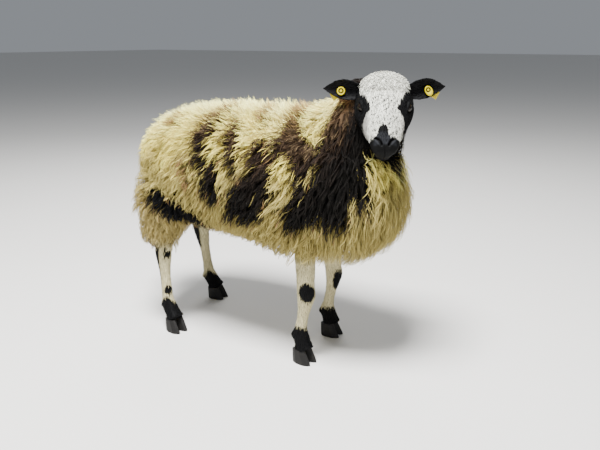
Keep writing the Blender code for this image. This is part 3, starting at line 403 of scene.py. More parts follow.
def flow(rows, s):
    """A smooth reading of the rows at each s from 0 to 1."""
    rows = np.asarray(rows, float)
    place = np.clip(s, 0, 1) * (len(rows) - 1)
    i = np.minimum(place.astype(int), len(rows) - 2)
    f = (place - i)[:, None]
    a, b, c, d = (rows[np.clip(i + k, 0, len(rows) - 1)] for k in (-1, 0, 1, 2))
    return b + 0.5 * f * (c - a + f * (2 * a - 5 * b + 4 * c - d + f * (3 * (b - c) + d - a)))


def tube_grid(rows, side, along, around, power=2.25):
    """Rings of points of a rounded form along the rows: (along + 1, around, 3)."""
    rows = np.array([tuple(r) + (0.0,) * (8 - len(r)) for r in rows])
    s = np.linspace(0, 1, along + 1)
    row = flow(rows, s)
    step = 0.01
    ahead = flow(rows, np.minimum(s + step, 1))[:, :3] - flow(rows, np.maximum(s - step, 0))[:, :3]
    side = unit(np.array(side, float))
    up = unit(np.cross(unit(ahead), side))
    turn = np.arange(around) * math.tau / around
    c, q = np.cos(turn), np.sin(turn)
    e = 2 / power
    c, q = np.sign(c) * np.abs(c) ** e, np.sign(q) * np.abs(q) ** e
    across = row[:, 3:4] * c * (1 - row[:, 7:8] * np.maximum(q, 0))
    rise = np.where(q > 0, row[:, 4:5] * q, row[:, 5:6] * q)
    return (row[:, None, :3] + across[..., None] * side + rise[..., None] * up[:, None, :])


def grid_mesh(name, grid):
    """A closed mesh over rings of points, capped at both ends."""
    count, around = grid.shape[:2]
    points = list(map(tuple, grid.reshape(-1, 3)))
    faces = []
    for r in range(count - 1):
        for i in range(around):
            j = (i + 1) % around
            a = r * around
            faces.append((a + i, a + j, a + around + j, a + around + i))
    points += [tuple(grid[0].mean(0)), tuple(grid[-1].mean(0))]
    first, last = len(points) - 2, (count - 1) * around
    for i in range(around):
        j = (i + 1) % around
        faces += [(first, j, i), (first + 1, last + i, last + j)]
    mesh = bpy.data.meshes.new(name)
    mesh.from_pydata(points, [], faces)
    shape = bmesh.new()
    shape.from_mesh(mesh)
    if shape.calc_volume(signed=True) < 0:
        bmesh.ops.reverse_faces(shape, faces=shape.faces)
    shape.to_mesh(mesh)
    shape.free()
    return mesh


def add_object(name, mesh):
    made = bpy.data.objects.new(name, mesh)
    bpy.context.scene.collection.objects.link(made)
    return made


def apply_modifiers(made):
    graph = bpy.context.evaluated_depsgraph_get()
    mesh = bpy.data.meshes.new_from_object(made.evaluated_get(graph))
    made.modifiers.clear()
    made.data = mesh


def join_meshes(name, meshes):
    """One mesh from several."""
    shape = bmesh.new()
    for mesh in meshes:
        shape.from_mesh(mesh)
    joined = bpy.data.meshes.new(name)
    shape.to_mesh(joined)
    shape.free()
    return joined


def points_of(mesh):
    flat = np.zeros(len(mesh.vertices) * 3, np.float32)
    mesh.vertices.foreach_get("co", flat)
    return flat.reshape(-1, 3).astype(float)


def normals_of(mesh):
    flat = np.zeros(len(mesh.vertices) * 3, np.float32)
    mesh.vertices.foreach_get("normal", flat)
    return flat.reshape(-1, 3).astype(float)


def set_points(mesh, points):
    mesh.vertices.foreach_set("co", np.asarray(points, np.float32).ravel())
    mesh.update()


def smooth_shade(mesh):
    mesh.polygons.foreach_set("use_smooth", np.ones(len(mesh.polygons), bool))


def tree_of(mesh):
    shape = bmesh.new()
    shape.from_mesh(mesh)
    tree = BVHTree.FromBMesh(shape)
    shape.free()
    return tree


def shifted(rows):
    """Rows that start with x, y, z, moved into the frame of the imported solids."""
    return [(r[0] + SHIFT.x, r[1] + SHIFT.y) + tuple(r[2:]) for r in rows]


# Places of head, ears and legs


def head_axes():
    """Along the face, to the head's left, and out of the forehead."""
    ahead = Vector((math.cos(HEAD_HEADING), math.sin(HEAD_HEADING), 0))
    along = ahead * math.cos(FACE_DIP) - Vector((0, 0, math.sin(FACE_DIP)))
    left = Vector((-ahead.y, ahead.x, 0))
    return along, left, along.cross(left)


ALONG, LEFT, OUT = (np.array(v) for v in head_axes())
POLL = np.array(HEAD_MIDDLE + SHIFT) - ALONG * HEAD_LENGTH / 2


def head_place(far, left, out):
    return POLL + ALONG * far + LEFT * left + OUT * out


def on_head(p):
    """Distance along the face, to the left and out of the forehead, for points."""
    away = p - POLL
    return away @ ALONG, away @ LEFT, away @ OUT


def ear_axes(side):
    """Out along the ear, up across it, and out of its open face."""
    ahead = Vector((math.cos(HEAD_HEADING), math.sin(HEAD_HEADING), 0))
    left = Vector((-ahead.y, ahead.x, 0))
    out = (left * side + Vector((0, 0, EAR_LIFT[side])) - ahead * EAR_BACK).normalized()
    face = ahead - Vector((0, 0, EAR_TILT))
    face = (face - out * face.dot(out)).normalized()
    return np.array(out), np.array(face.cross(out).normalized() * side), np.array(face)


def ear_half(u):
    """Half the ear's height: narrow at the root, full in the middle, pointed at the tip."""
    grown = min(u / EAR_FULL, 1.0)
    narrowed = max((u - EAR_NARROW) / (1 - EAR_NARROW), 0.0) ** EAR_TIP_POWER
    share = EAR_NECK + (1 - EAR_NECK) * math.sin(math.pi / 2 * grown)
    return max(EAR_HALF * share * (1 - narrowed), EAR_WALL / 2)


def ear_point(side, u, v, lift):
    """A point on the ear: u along it, v across from -1 to 1, lift off its inner face."""
    out, tall, face = ear_axes(side)
    root = head_place(EAR_ROOT[0], side * EAR_ROOT[1], EAR_ROOT[2])
    bend = EAR_CUP[0] - EAR_CUP[1] * u
    radius = ear_half(u) / math.sin(bend)
    a = v * bend
    centre = root + out * (EAR_LENGTH * u) + tall * (EAR_SAG * math.sin(math.pi * u))
    across = tall * (radius * math.sin(a)) + face * (radius * (1 - math.cos(a)))
    return centre + across + (face * math.cos(a) - tall * math.sin(a)) * lift


def leg_rows(name):
    """The bare leg's rows, from its heights and its foot, and its side direction."""
    x, y, heading = FEET[name]
    turn = math.radians(heading)
    ahead = (math.cos(turn), math.sin(turn))
    inward = 1 if y < 0 else -1
    rows = [(x + ahead[0] * forward, y + ahead[1] * forward + inward * inner, z, wide, front, rear)
            for z, forward, inner, wide, front, rear in
            (FRONT_LEG_ROWS if name.startswith("front") else HIND_LEG_ROWS)]
    rows[-1] = rows[-1][:2] + (PASTERN_TOP,) + rows[-1][3:]
    return shifted(rows), (-ahead[1], ahead[0], 0)


def thigh_rows(side):
    step = FEET["hind_left"][0] - FEET["hind_right"][0] if side > 0 else 0.0
    top, low = THIGH_ROWS[0][2], THIGH_ROWS[-1][2]
    return shifted([(r[0] + step * (top - r[2]) / (top - low), -side * r[1]) + tuple(r[2:])
                    for r in THIGH_ROWS])


# Markings

# Colours of coat, skin and small parts
CREAM_ROOT = linear("C4AC60")
TAN = linear("9C8C5A")
BROWN_TIP = linear("9C7850")
DARK_TIP = linear("6C5A42")
BLACK_HAIR = linear("050506")
WHITE_HAIR = linear("DADACE")
GREY_FLECK_AND_SHADE = linear("94928C")
# Grey of the flecks in the face, also used as painted shade low on the cheeks
LEG_WHITE = linear("C2B992")
NOSE_SKIN = linear("1A1B1E")
MUZZLE_SKIN = linear("040404")
EYE_DARK = linear("120C09")
IRIS_BROWN = linear("1A130E")
IRIS_RING = linear("120C08")
PUPIL_BLACK = linear("050505")
HORN_DARK = linear("080706")
HORN_PALE = linear("14110E")
TAG_WORN = linear("BCA404")
TAG_YELLOW = linear("D6C008")
TAG_FRONT_YELLOW = linear("B0A000")
# Dark of the tag's recess: dirt and painted shade
TAG_DIRT_AND_SHADE = linear("1E1808")
FLOOR_PALE = linear("D8D6D2")
SKY_PALE = linear("DCE2EA")

# Outlines of the spots and stripes on the right side of the fleece, as (x, turn) with the turn
# in degrees down from the spine; the first value is how full the colour is, below 0 is cream
SHAPES = [
    (0.8, [(-0.319, 8), (-0.259, 27), (-0.248, 45), (-0.283, 48), (-0.315, 39), (-0.304, 29)]),
    (0.5, [(-0.290, 56), (-0.263, 60), (-0.266, 69), (-0.268, 78), (-0.287, 83), (-0.289, 75),
           (-0.294, 66)]),
    (0.6, [(-0.184, 70), (-0.170, 71), (-0.160, 81), (-0.139, 91), (-0.152, 108), (-0.166, 107),
           (-0.174, 95), (-0.190, 85)]),
    (1.0, [(-0.125, -8), (-0.096, 0), (-0.081, 27), (-0.096, 34), (-0.090, 45), (-0.086, 55),
           (-0.088, 60), (-0.090, 67), (-0.088, 74), (-0.076, 79), (-0.062, 77), (-0.048, 73),
           (-0.030, 73), (-0.040, 81), (-0.034, 92), (-0.032, 101), (-0.042, 110), (-0.080, 118),
           (-0.096, 114), (-0.104, 103), (-0.098, 90), (-0.106, 84), (-0.119, 90), (-0.126, 87),
           (-0.140, 75), (-0.158, 64), (-0.170, 55), (-0.162, 45), (-0.150, 35), (-0.134, 22),
           (-0.128, 8)]),
    (1.0, [(-0.046, 30), (-0.020, 36), (0.001, 50), (0.014, 60), (0.022, 66), (0.018, 76),
           (0.036, 82), (0.041, 92), (0.022, 92), (0.000, 86), (-0.022, 76), (-0.020, 68),
           (-0.046, 62), (-0.054, 54), (-0.050, 42)]),
    (1.0, [(0.085, 48), (0.104, 52), (0.112, 61), (0.134, 67), (0.135, 76), (0.127, 85),
           (0.134, 95), (0.118, 104), (0.096, 121), (0.041, 128), (0.000, 127), (-0.041, 127),
           (-0.026, 112), (-0.008, 103), (0.014, 92), (0.030, 89), (0.046, 87), (0.049, 77),
           (0.040, 68), (0.050, 60), (0.067, 52)]),
    (1.0, [(0.074, -12), (0.150, -12), (0.170, 22), (0.163, 27), (0.181, 36), (0.209, 45),
           (0.222, 48), (0.236, 53), (0.246, 50), (0.247, 42), (0.246, 34), (0.247, 27),
           (0.256, 20), (0.262, 13), (0.270, 2), (0.420, -4), (0.440, 20), (0.430, 38),
           (0.368, 43), (0.382, 52), (0.395, 70), (0.382, 77), (0.387, 88), (0.397, 101),
           (0.402, 118), (0.396, 122), (0.375, 118), (0.362, 106), (0.355, 104), (0.350, 112),
           (0.333, 127), (0.325, 133), (0.300, 131), (0.273, 125), (0.264, 118), (0.253, 120),
           (0.236, 123), (0.201, 127), (0.164, 129), (0.160, 119), (0.163, 112), (0.158, 107),
           (0.183, 104), (0.200, 97), (0.204, 88), (0.190, 82), (0.178, 76), (0.177, 69),
           (0.164, 65), (0.146, 71), (0.134, 77), (0.129, 86), (0.140, 91), (0.146, 97),
           (0.136, 99), (0.128, 85), (0.128, 67), (0.110, 57), (0.114, 48), (0.118, 38),
           (0.112, 24)]),
    (-1.0, [(0.242, 74), (0.254, 78), (0.248, 85), (0.236, 88), (0.225, 87), (0.234, 80)]),
    (0.9, [(-0.012, -8), (0.026, -6), (0.050, 22), (0.062, 38), (0.040, 38), (0.020, 26)]),
]
# The same for the left side, turn below 0, as widening paths of (x, turn, half width)
PATCHES = [
    [(-0.300, -22, 0.024), (-0.262, -40, 0.022)],
    [(-0.150, -20, 0.012), (-0.130, -52, 0.024), (-0.140, -84, 0.034), (-0.170, -104, 0.020)],
    [(-0.030, -30, 0.012), (-0.012, -58, 0.014), (-0.020, -82, 0.010)],
    [(0.080, -50, 0.016), (0.070, -80, 0.040), (0.100, -104, 0.030)],
    [(0.160, -14, 0.012), (0.150, -40, 0.016), (0.170, -66, 0.014)],
    [(0.250, -62, 0.030), (0.320, -58, 0.048), (0.350, -84, 0.054), (0.300, -104, 0.050),
     (0.240, -108, 0.026)],
    [(0.330, -6, 0.044), (0.352, -30, 0.054), (0.350, -56, 0.044)],
    [(0.400, -3, 0.044), (0.425, -24, 0.050)],
]
# Tones of cream and of the dark spots at turns from the spine, in degrees; the cream gets darker
# and yellower down the sides, which is grease stain and painted shade
CREAM_TURNS = (0, 40, 66, 88, 130)
CREAM_SHADED_TONES = ("FFF6A4", "FFF08C", "F4E274", "BAAC66", "A29458")
DARK_TURNS = (0, 22, 42, 60, 80, 110)
DARK_TONES = ("90663C", "604830", "4C3A28", "382A1E", "1A1410", "0A0806")
# Dark collar behind the ears, dark wool and painted shade under them: where it starts and where
# it is full, as heights
COLLAR_DARK_AND_SHADE = linear("1A1410")
COLLAR_FOOT = 0.752
COLLAR_TOP = 0.768
# Height, slope and place along of the black band over the thigh; where it ends in front and
# behind, its half width at places in x, and the share of tan in the wool under it
THIGH_BAND = (0.410, -0.46, -0.270)
THIGH_BAND_FRONT = (-0.16, -0.13)
THIGH_BAND_END = -0.352
THIGH_BAND_PLACES = (-0.350, -0.30, -0.22)
THIGH_BAND_HALF = (0.012, 0.031, 0.040)
THIGH_TAN = 0.85
# Radius at which a turn round the trunk is a distance, and height of the trunk's middle line
PATCH_RADIUS = 0.185
TRUNK_AXIS = 0.52
# Half width of the soft edge of a spot
SPOT_SOFT = 0.004
# Edge of the white blaze: distance along the face, half width on the right and on the left
BLAZE = [(0.0, 0.076, 0.072), (0.029, 0.071, 0.062), (0.055, 0.063, 0.054), (0.069, 0.053, 0.046),
         (0.085, 0.042, 0.038), (0.099, 0.036, 0.032), (0.113, 0.035, 0.029), (0.120, 0.046, 0.038),
         (0.139, 0.054, 0.047), (0.153, 0.052, 0.046), (0.230, 0.052, 0.046)]
# Top edge of the black muzzle: sideways from its middle, distance along the face
MUZZLE_EDGE = [(0.000, 0.157), (0.006, 0.1585), (0.010, 0.1645), (0.0135, 0.1765), (0.016, 0.182),
               (0.025, 0.185), (0.040, 0.186), (0.060, 0.190)]
MUZZLE_MIDDLE = -0.006
# Nostrils: both ends of the slit as distance along the face, to the side and out, and its arch
NOSTRIL_FRONT = (0.2050, 0.0085, 0.0280)
NOSTRIL_BACK = (0.1880, 0.0235, 0.0285)
NOSTRIL_RISE = 0.003
# How much the distance along the outward way counts
NOSTRIL_DEPTH_SHARE = 0.30
# Half width of the slit at its ends, what it gains in the middle, and the least height out
NOSTRIL_HALF = 0.0024
NOSTRIL_GAIN = 0.0020
NOSTRIL_LOW = 0.006
# Height of the black pastern on each leg, and how far it rises to a point on a hind leg
PASTERN_BLACK = {"front_right": 0.110, "front_left": 0.096, "hind_right": 0.100,
                 "hind_left": 0.092}
PASTERN_PEAK = 0.012
PEAK_HALF = 0.015
# Black spots of the legs: middle across the view, height, half width and half height
LEG_SPOTS = {
    "front_right": [(0.003, 0.222, 0.024, 0.030)],
    "front_left": [(0.016, 0.190, 0.019, 0.038)],
    "hind_right": [(0.004, 0.134, 0.013, 0.015), (0.012, 0.252, 0.012, 0.013)],
    "hind_left": [],
}
SPOT_EDGE = (0.85, 1.0)
# The knee spot is smaller on the side away from the camera
KNEE_FAR = -0.006
KNEE_LESS = 0.25
# Line down the back of the near hind leg: its front edge, its foot and its top
HOCK_LINE = ((-0.016, -0.012), (0.15, 0.16), (0.27, 0.28))
# Wedge down the back of the far hind leg: its edge, its slope from a height, and its foot
WEDGE_EDGE = 0.004
WEDGE_SLOPE = 0.05
WEDGE_TOP = 0.30
WEDGE_FOOT = (0.18, 0.20)
# Height over which the fleece gives way to the legs' hair, higher on the front legs
LEG_EDGE = (0.262, 0.298)
LEG_EDGE_FRONT = 0.030
# Grey flecks in the white of the face: share, size of a fleck, and where they start
FLECK_SHARE = 0.75
FLECK_SIZE = 0.0032
FLECK_START = (0.020, 0.050)
# Painted shade, grey low on the cheeks: where it starts along the face and to the side
CHEEK_SHADE_START = (0.114, 0.122)
CHEEK_SHADE_SIDE = 0.040
# Half width of the soft edge of a mark on the face
FACE_SOFT = 0.0015
# How far out of the forehead's plane the black of the jaw reaches, and what that gains in front
JAW_BLACK = -0.016
JAW_GAIN = 0.02
JAW_FRONT = (0.15, 0.19)
# Black specks on the bridge: their sizes, where they start, half width of the bridge, and
# where they are thickest, as place and reach along the face and then to the side
SPECK_SIZES = (0.0062, 0.0040)
SPECK_START = (0.062, 0.085)
SPECK_SIDE = 0.034
SPECK_THICK = (0.098, 0.030, -0.004, 0.016)
# Grey pad between the nostrils: start and end along the face, and its edge to the side
PAD_START = (0.172, 0.180)
PAD_END = (0.202, 0.208)
PAD_SIDE = (0.023, 0.030)
# How thin the dark of the spots is near the spine: turns in degrees, and shares
THIN_TURNS = (0, 18, 40)
THIN_SHARES = (0.75, 0.92, 1.0)


def mix(colour, paint, share):
    return colour + (paint - colour) * np.asarray(share)[:, None]


def near_path(p, path, radius):
    """Signed distance in metres from points (x, turn) to a widening path, below 0 inside."""
    best = np.full(len(p), 1e9)
    arc = math.radians(1) * radius
    pts = [(x, t * arc, h) for x, t, h in path]
    for (ax, ay, ah), (bx, by, bh) in zip(pts[:-1], pts[1:]):
        dx, dy = bx - ax, by - ay
        size = max(dx * dx + dy * dy, 1e-9)
        t = np.clip(((p[:, 0] - ax) * dx + (p[:, 1] - ay) * dy) / size, 0, 1)
        gap = np.hypot(p[:, 0] - ax - t * dx, p[:, 1] - ay - t * dy)
        best = np.minimum(best, gap - (ah + (bh - ah) * t))
    return best


def near_shape(p, corners, radius):
    """Signed distance in metres from points (x, turn) to a closed outline, below 0 inside."""
    arc = math.radians(1) * radius
    ends = np.array([(x, t * arc) for x, t in corners])
    best = np.full(len(p), 1e9)
    inside = np.zeros(len(p), bool)
    for a, b in zip(ends, np.roll(ends, -1, axis=0)):
        along = b - a
        t = np.clip((p - a) @ along / max(along @ along, 1e-9), 0, 1)
        best = np.minimum(best, np.hypot(*(p - a - t[:, None] * along).T))
        crosses = (a[1] > p[:, 1]) != (b[1] > p[:, 1])
        rise = b[1] - a[1] if b[1] != a[1] else 1e-9
        inside ^= crosses & (p[:, 0] < a[0] + (p[:, 1] - a[1]) / rise * along[0])
    return np.where(inside, -best, best)


def cream_tone(p, turn):
    """Pale and bleached on the back; darker and yellower down the sides and under the belly, which is
    grease stain and painted shade.
    """
    down = np.abs(turn) + 14 * wander(p, 0.12, 7)
    # Grease stain and painted shade: the cream darkens and yellows with the turn down from the spine
    tones = np.array([linear(c) for c in CREAM_SHADED_TONES])
    return np.stack([np.interp(down, CREAM_TURNS, tones[:, k]) for k in range(3)], 1)


def dark_tone(p, turn):
    """Light brown near the spine, brown on the upper side, near black lower and in front."""
    down = np.abs(turn) + 10 * wander(p, 0.05, 8) + 130 * smooth(0.30, 0.36, p[:, 0])
    down = down + 90 * smooth(0.24, 0.28, p[:, 0]) * (1 - smooth(8, 16, turn))
    down = down + 20 * smooth(0.23, 0.29, p[:, 0]) * smooth(14, 26, turn)
    down = down + 12 * smooth(0.00, -0.10, p[:, 0]) * (np.abs(turn) > 45)
    tones = np.array([linear(c) for c in DARK_TONES])
    return np.stack([np.interp(down, DARK_TURNS, tones[:, k]) for k in range(3)], 1)


def fleece_paint(p):
    """Colour of the fleece at points: cream with brown and black spots and stripes."""
    turn = np.degrees(np.arctan2(-p[:, 1], p[:, 2] - TRUNK_AXIS))
    flat = np.stack([p[:, 0], turn * math.radians(1) * PATCH_RADIUS], 1)
    ragged = 0.0045 * wander(p, 0.045, 5) + 0.0022 * wander(p, 0.016, 6)
    cream, dark = cream_tone(p, turn), dark_tone(p, turn)
    share = np.zeros(len(p))
    for path in PATCHES:
        edge = near_path(flat, path, PATCH_RADIUS) + ragged
        share = np.maximum(share, 1 - smooth(-SPOT_SOFT, SPOT_SOFT, edge))
    for full, corners in SHAPES:
        edge = near_shape(flat, corners, PATCH_RADIUS) + ragged
        inside = 1 - smooth(-SPOT_SOFT, SPOT_SOFT, edge)
        share = np.maximum(share, inside * full) if full > 0 else share * (1 - inside)
    thin = np.interp(np.abs(turn), THIN_TURNS, THIN_SHARES)
    share *= thin + (1 - thin) * smooth(0.20, 0.25, p[:, 0])
    colour = cream + (dark - cream) * share[:, None]
    behind = 1 - smooth(*THIGH_BAND_FRONT, p[:, 0])
    slope = p[:, 2] - THIGH_BAND[0] - THIGH_BAND[1] * (p[:, 0] - THIGH_BAND[2]) + ragged
    outer = smooth(0.05, 0.07, np.abs(p[:, 1]))
    colour = mix(colour, TAN, (1 - smooth(-0.030, -0.015, slope)) * behind * THIGH_TAN)
    wide = np.interp(p[:, 0], THIGH_BAND_PLACES, THIGH_BAND_HALF)
    band = (1 - smooth(-0.003, 0.004, np.abs(slope) - wide)) * behind * outer
    colour = mix(colour, BLACK_HAIR, band * (p[:, 0] > THIGH_BAND_END))
    # Dark wool and painted shade on the neck behind the ears
    return mix(colour, COLLAR_DARK_AND_SHADE, smooth(COLLAR_FOOT, COLLAR_TOP, p[:, 2] + ragged))


def nostril_gap(far, left, out):
    """Distance from the curved slit of the nearer nostril, in shares of its half width."""
    a, b = np.array(NOSTRIL_FRONT), np.array(NOSTRIL_BACK)
    place = np.stack([far, np.abs(left), out], 1)
    t = np.clip(((place - a) @ (b - a)) / ((b - a) @ (b - a)), 0, 1)
    rise = NOSTRIL_RISE * np.sin(math.pi * t)
    away = place - a - t[:, None] * (b - a)
    away[:, 0] += rise
    away[:, 2] *= NOSTRIL_DEPTH_SHARE
    width = NOSTRIL_HALF + NOSTRIL_GAIN * np.sin(math.pi * np.clip(t * 0.9 + 0.1, 0, 1))
    return np.linalg.norm(away, axis=1) / width + 9 * (out < NOSTRIL_LOW)


def face_paint(p):
    """White blaze, black round the eyes and on the cheeks, black muzzle, speckled bridge."""
    far, left, out = on_head(p)
    ragged = 0.0020 * wander(p, 0.012, 15)
    places = [row[0] for row in BLAZE]
    edge = np.where(left < 0, np.interp(far, places, [row[1] for row in BLAZE]),
                    np.interp(far, places, [row[2] for row in BLAZE]))
    colour = np.tile(WHITE_HAIR, (len(p), 1))
    fleck = FLECK_SHARE * smooth(0.25, 0.65, wander(p, FLECK_SIZE, 24)) * smooth(*FLECK_START, far)
    colour = mix(colour, GREY_FLECK_AND_SHADE, fleck)
    # Painted shade: grey low on the sides of the face
    low = smooth(*CHEEK_SHADE_START, far) * smooth(-0.004, 0.006, np.abs(left) - CHEEK_SHADE_SIDE + ragged)
    colour = mix(colour, GREY_FLECK_AND_SHADE, low)
    black = smooth(-FACE_SOFT, FACE_SOFT, np.abs(left) - edge + ragged)
    under = smooth(-0.004, 0.004, JAW_BLACK - out + ragged + JAW_GAIN * smooth(*JAW_FRONT, far))
    colour = mix(colour, BLACK_HAIR, np.maximum(black, under))
    speck = wander(p, SPECK_SIZES[0], 21) + 0.5 * wander(p, SPECK_SIZES[1], 22)
    there, long, aside, wide = SPECK_THICK
    thick = np.exp(-((far - there) / long) ** 2 - ((left - aside) / wide) ** 2)
    bridge = smooth(*SPECK_START, far) * (np.abs(left) < SPECK_SIDE) * (out > 0)
    colour = mix(colour, BLACK_HAIR, bridge * smooth(0.60, 0.72, speck + 0.40 * thick))
    rim = np.interp(np.abs(left - MUZZLE_MIDDLE), [e[0] for e in MUZZLE_EDGE],
                    [e[1] for e in MUZZLE_EDGE])
    muzzle = smooth(-FACE_SOFT, FACE_SOFT, far - rim + ragged)
    pad = smooth(*PAD_START, far) * (1 - smooth(*PAD_END, far))
    pad *= 1 - smooth(*PAD_SIDE, np.abs(left))
    pad *= smooth(0.85, 1.25, nostril_gap(far, left, out))
    skin = mix(np.tile(MUZZLE_SKIN, (len(p), 1)), NOSE_SKIN, pad)
    return colour + (skin - colour) * muzzle[:, None]


def leg_paint(p, name):
    """White legs with black pasterns, knee spots and the mark down the back of the hind leg."""
    rows, _ = leg_rows(name)
    heights = [r[2] for r in rows][::-1]
    dx = p[:, 0] - np.interp(p[:, 2], heights, [r[0] for r in rows][::-1])
    dy = p[:, 1] - np.interp(p[:, 2], heights, [r[1] for r in rows][::-1])
    right = dx * LOOK_Y - dy * LOOK_X
    near = -dx * LOOK_X - dy * LOOK_Y
    z = p[:, 2] + 0.004 * wander(p, 0.05, 31) + 0.0015 * wander(p, 0.012, 32)
    colour = np.tile(LEG_WHITE, (len(p), 1))
    peak = PASTERN_PEAK if name.startswith("hind") else 0.0
    edge = PASTERN_BLACK[name] + peak * (1 - np.abs(right) / PEAK_HALF)
    black = 1 - smooth(-0.003, 0.003, z - edge)
    for across, high, wide, tall in LEG_SPOTS[name]:
        spot = np.hypot((right - across) / wide, (z - high) / tall)
        if name == "front_right":
            spot = spot + KNEE_LESS * (near < KNEE_FAR)
        black = np.maximum(black, 1 - smooth(*SPOT_EDGE, spot))
    if name == "hind_right":
        front, foot, top = HOCK_LINE
        line = (1 - smooth(*front, right)) * smooth(*foot, z) * (1 - smooth(*top, z))
        black = np.maximum(black, line)
    if name == "hind_left":
        behind = right + WEDGE_EDGE + (WEDGE_TOP - z) * WEDGE_SLOPE
        wedge = 1 - smooth(-WEDGE_EDGE, WEDGE_EDGE, behind)
        black = np.maximum(black, wedge * smooth(*WEDGE_FOOT, z))
    return mix(colour, BLACK_HAIR, black)


def black_paint(p):
    """The ears are black all over."""
    return np.tile(BLACK_HAIR, (len(p), 1))


def nearest_leg(p):
    """Which lower leg each point belongs to."""
    names = list(FEET)
    spots = np.array([[FEET[n][0] + SHIFT.x, FEET[n][1] + SHIFT.y] for n in names])
    gap = np.hypot(p[:, None, 0] - spots[None, :, 0], p[:, None, 1] - spots[None, :, 1])
    return names, gap.argmin(1)


def body_paint(p):
    """Colour of fleece and legs at points away from the head."""
    colour = fleece_paint(p)
    names, which = nearest_leg(p)
    lift = LEG_EDGE_FRONT * (p[:, 0] > 0)
    low = 1 - smooth(*LEG_EDGE, p[:, 2] - lift)
    for k, name in enumerate(names):
        mask = (which == k) & (p[:, 2] < LEG_EDGE[1] + LEG_EDGE_FRONT)
        if mask.any():
            leg = leg_paint(p[mask], name) * low[mask][:, None]
            colour[mask] = mix(colour[mask], 0, low[mask]) + leg
    return colour


# Materials


def node_in(tree, kind, sockets=None, links=None, **settings):
    """Adds a shader node with its settings, socket values and incoming links."""
    made = tree.nodes.new(kind)
    for key, value in settings.items():
        setattr(made, key, value)
    for key, value in (sockets or {}).items():
        made.inputs[key].default_value = value
    for key, socket in (links or {}).items():
        tree.links.new(socket, made.inputs[key])
    return made


def blank(name):
    made = bpy.data.materials.new(name)
    made.use_nodes = True
    return made, made.node_tree, made.node_tree.nodes["Principled BSDF"]


def rgba(colour):
    return tuple(float(c) for c in colour) + (1.0,)


# Wool and hair are keratin that grew in scales, so both scatter light and are nearly matt. Wool is
# crimped and matted with grease and dust, short hair lies flat and clean and is a little glossier.
# A fibre is 0.03 mm across and a hair 0.07 mm, too fine to show, so the relief is drawn as grains
# of 1.1 mm and 0.7 mm, three times as long as wide: roughness, grains a metre, strength, gloss.
GREASY_WOOL = (0.85, 900.0, 0.25, 0.08)
SHORT_HAIR = (0.70, 1400.0, 0.35, 0.09)
GRAIN_LONG = 0.35
GRAIN_HEIGHT = 0.0015
KERATIN_IOR = 1.55
# A wet cornea is a clear film over the iris, as smooth as water, so it gives a small sharp glint
CORNEA_ROUGHNESS = 0.06
CORNEA_IOR = 1.38
CORNEA_GLOSS = 0.3
# Hoof horn is keratin that grew downwards in rings about 4 mm apart: nearly black and half matt,
# with each ring a little raised and paler
HORN_ROUGHNESS = 0.62
HORN_IOR = 1.54
HORN_GLOSS = 0.25
HORN_RINGS = 60.0
HORN_STRETCH = (0.25, 0.25, 4.0)
# Tag plastic is polyurethane that was moulded and then scuffed in use: a soft gloss that wear
# makes uneven. A scuff is 0.2 mm wide, too fine to show, so it is drawn 2.4 mm wide. Light goes
# a few millimetres into it.
TAG_ROUGHNESS = (0.34, 0.52)
TAG_FRONT_ROUGHNESS = 0.48
TAG_IOR = 1.49
TAG_FRONT_GLOSS = 0.25
TAG_SCUFFS = 420.0
TAG_GLOW = 0.08
TAG_GLOW_REACH = (0.004, 0.003, 0.001)


def hair_material(name, roughness, fine, strength, gloss):
    """Hair or wool whose colour is carried by the mesh, with a relief of grains along it."""
    made, tree, bsdf = blank(name)
    paint = node_in(tree, "ShaderNodeAttribute", attribute_name="coat")
    place = node_in(tree, "ShaderNodeTexCoord")
    stretched = node_in(tree, "ShaderNodeMapping", {"Scale": (1.0, 1.0, GRAIN_LONG)},
                        {"Vector": place.outputs["Object"]})
    noise = node_in(tree, "ShaderNodeTexNoise", {"Scale": fine, "Detail": 4.0, "Roughness": 0.6},
                    {"Vector": stretched.outputs["Vector"]})
    shade = node_in(tree, "ShaderNodeMapRange", {"From Min": 0.3, "From Max": 0.7,
                                                "To Min": 0.82, "To Max": 1.12},
                    {"Value": noise.outputs["Fac"]})
    colour = node_in(tree, "ShaderNodeVectorMath", None,
                     {0: paint.outputs["Color"], "Scale": shade.outputs["Result"]},
                     operation="SCALE")
    bump = node_in(tree, "ShaderNodeBump", {"Strength": strength, "Distance": GRAIN_HEIGHT},
                   {"Height": noise.outputs["Fac"]})
    tree.links.new(colour.outputs["Vector"], bsdf.inputs["Base Color"])
    tree.links.new(bump.outputs["Normal"], bsdf.inputs["Normal"])
    bsdf.inputs["Roughness"].default_value = roughness
    bsdf.inputs["IOR"].default_value = KERATIN_IOR
    bsdf.inputs["Specular IOR Level"].default_value = gloss
    return made


def eye_material():
    """A living eye: a wet clear cornea over a dark brown iris with a level pupil."""
    made, tree, bsdf = blank("wet_eye")
    paint = node_in(tree, "ShaderNodeAttribute", attribute_name="coat")
    tree.links.new(paint.outputs["Color"], bsdf.inputs["Base Color"])
    bsdf.inputs["Roughness"].default_value = CORNEA_ROUGHNESS
    bsdf.inputs["IOR"].default_value = CORNEA_IOR
    bsdf.inputs["Specular IOR Level"].default_value = CORNEA_GLOSS
    return made


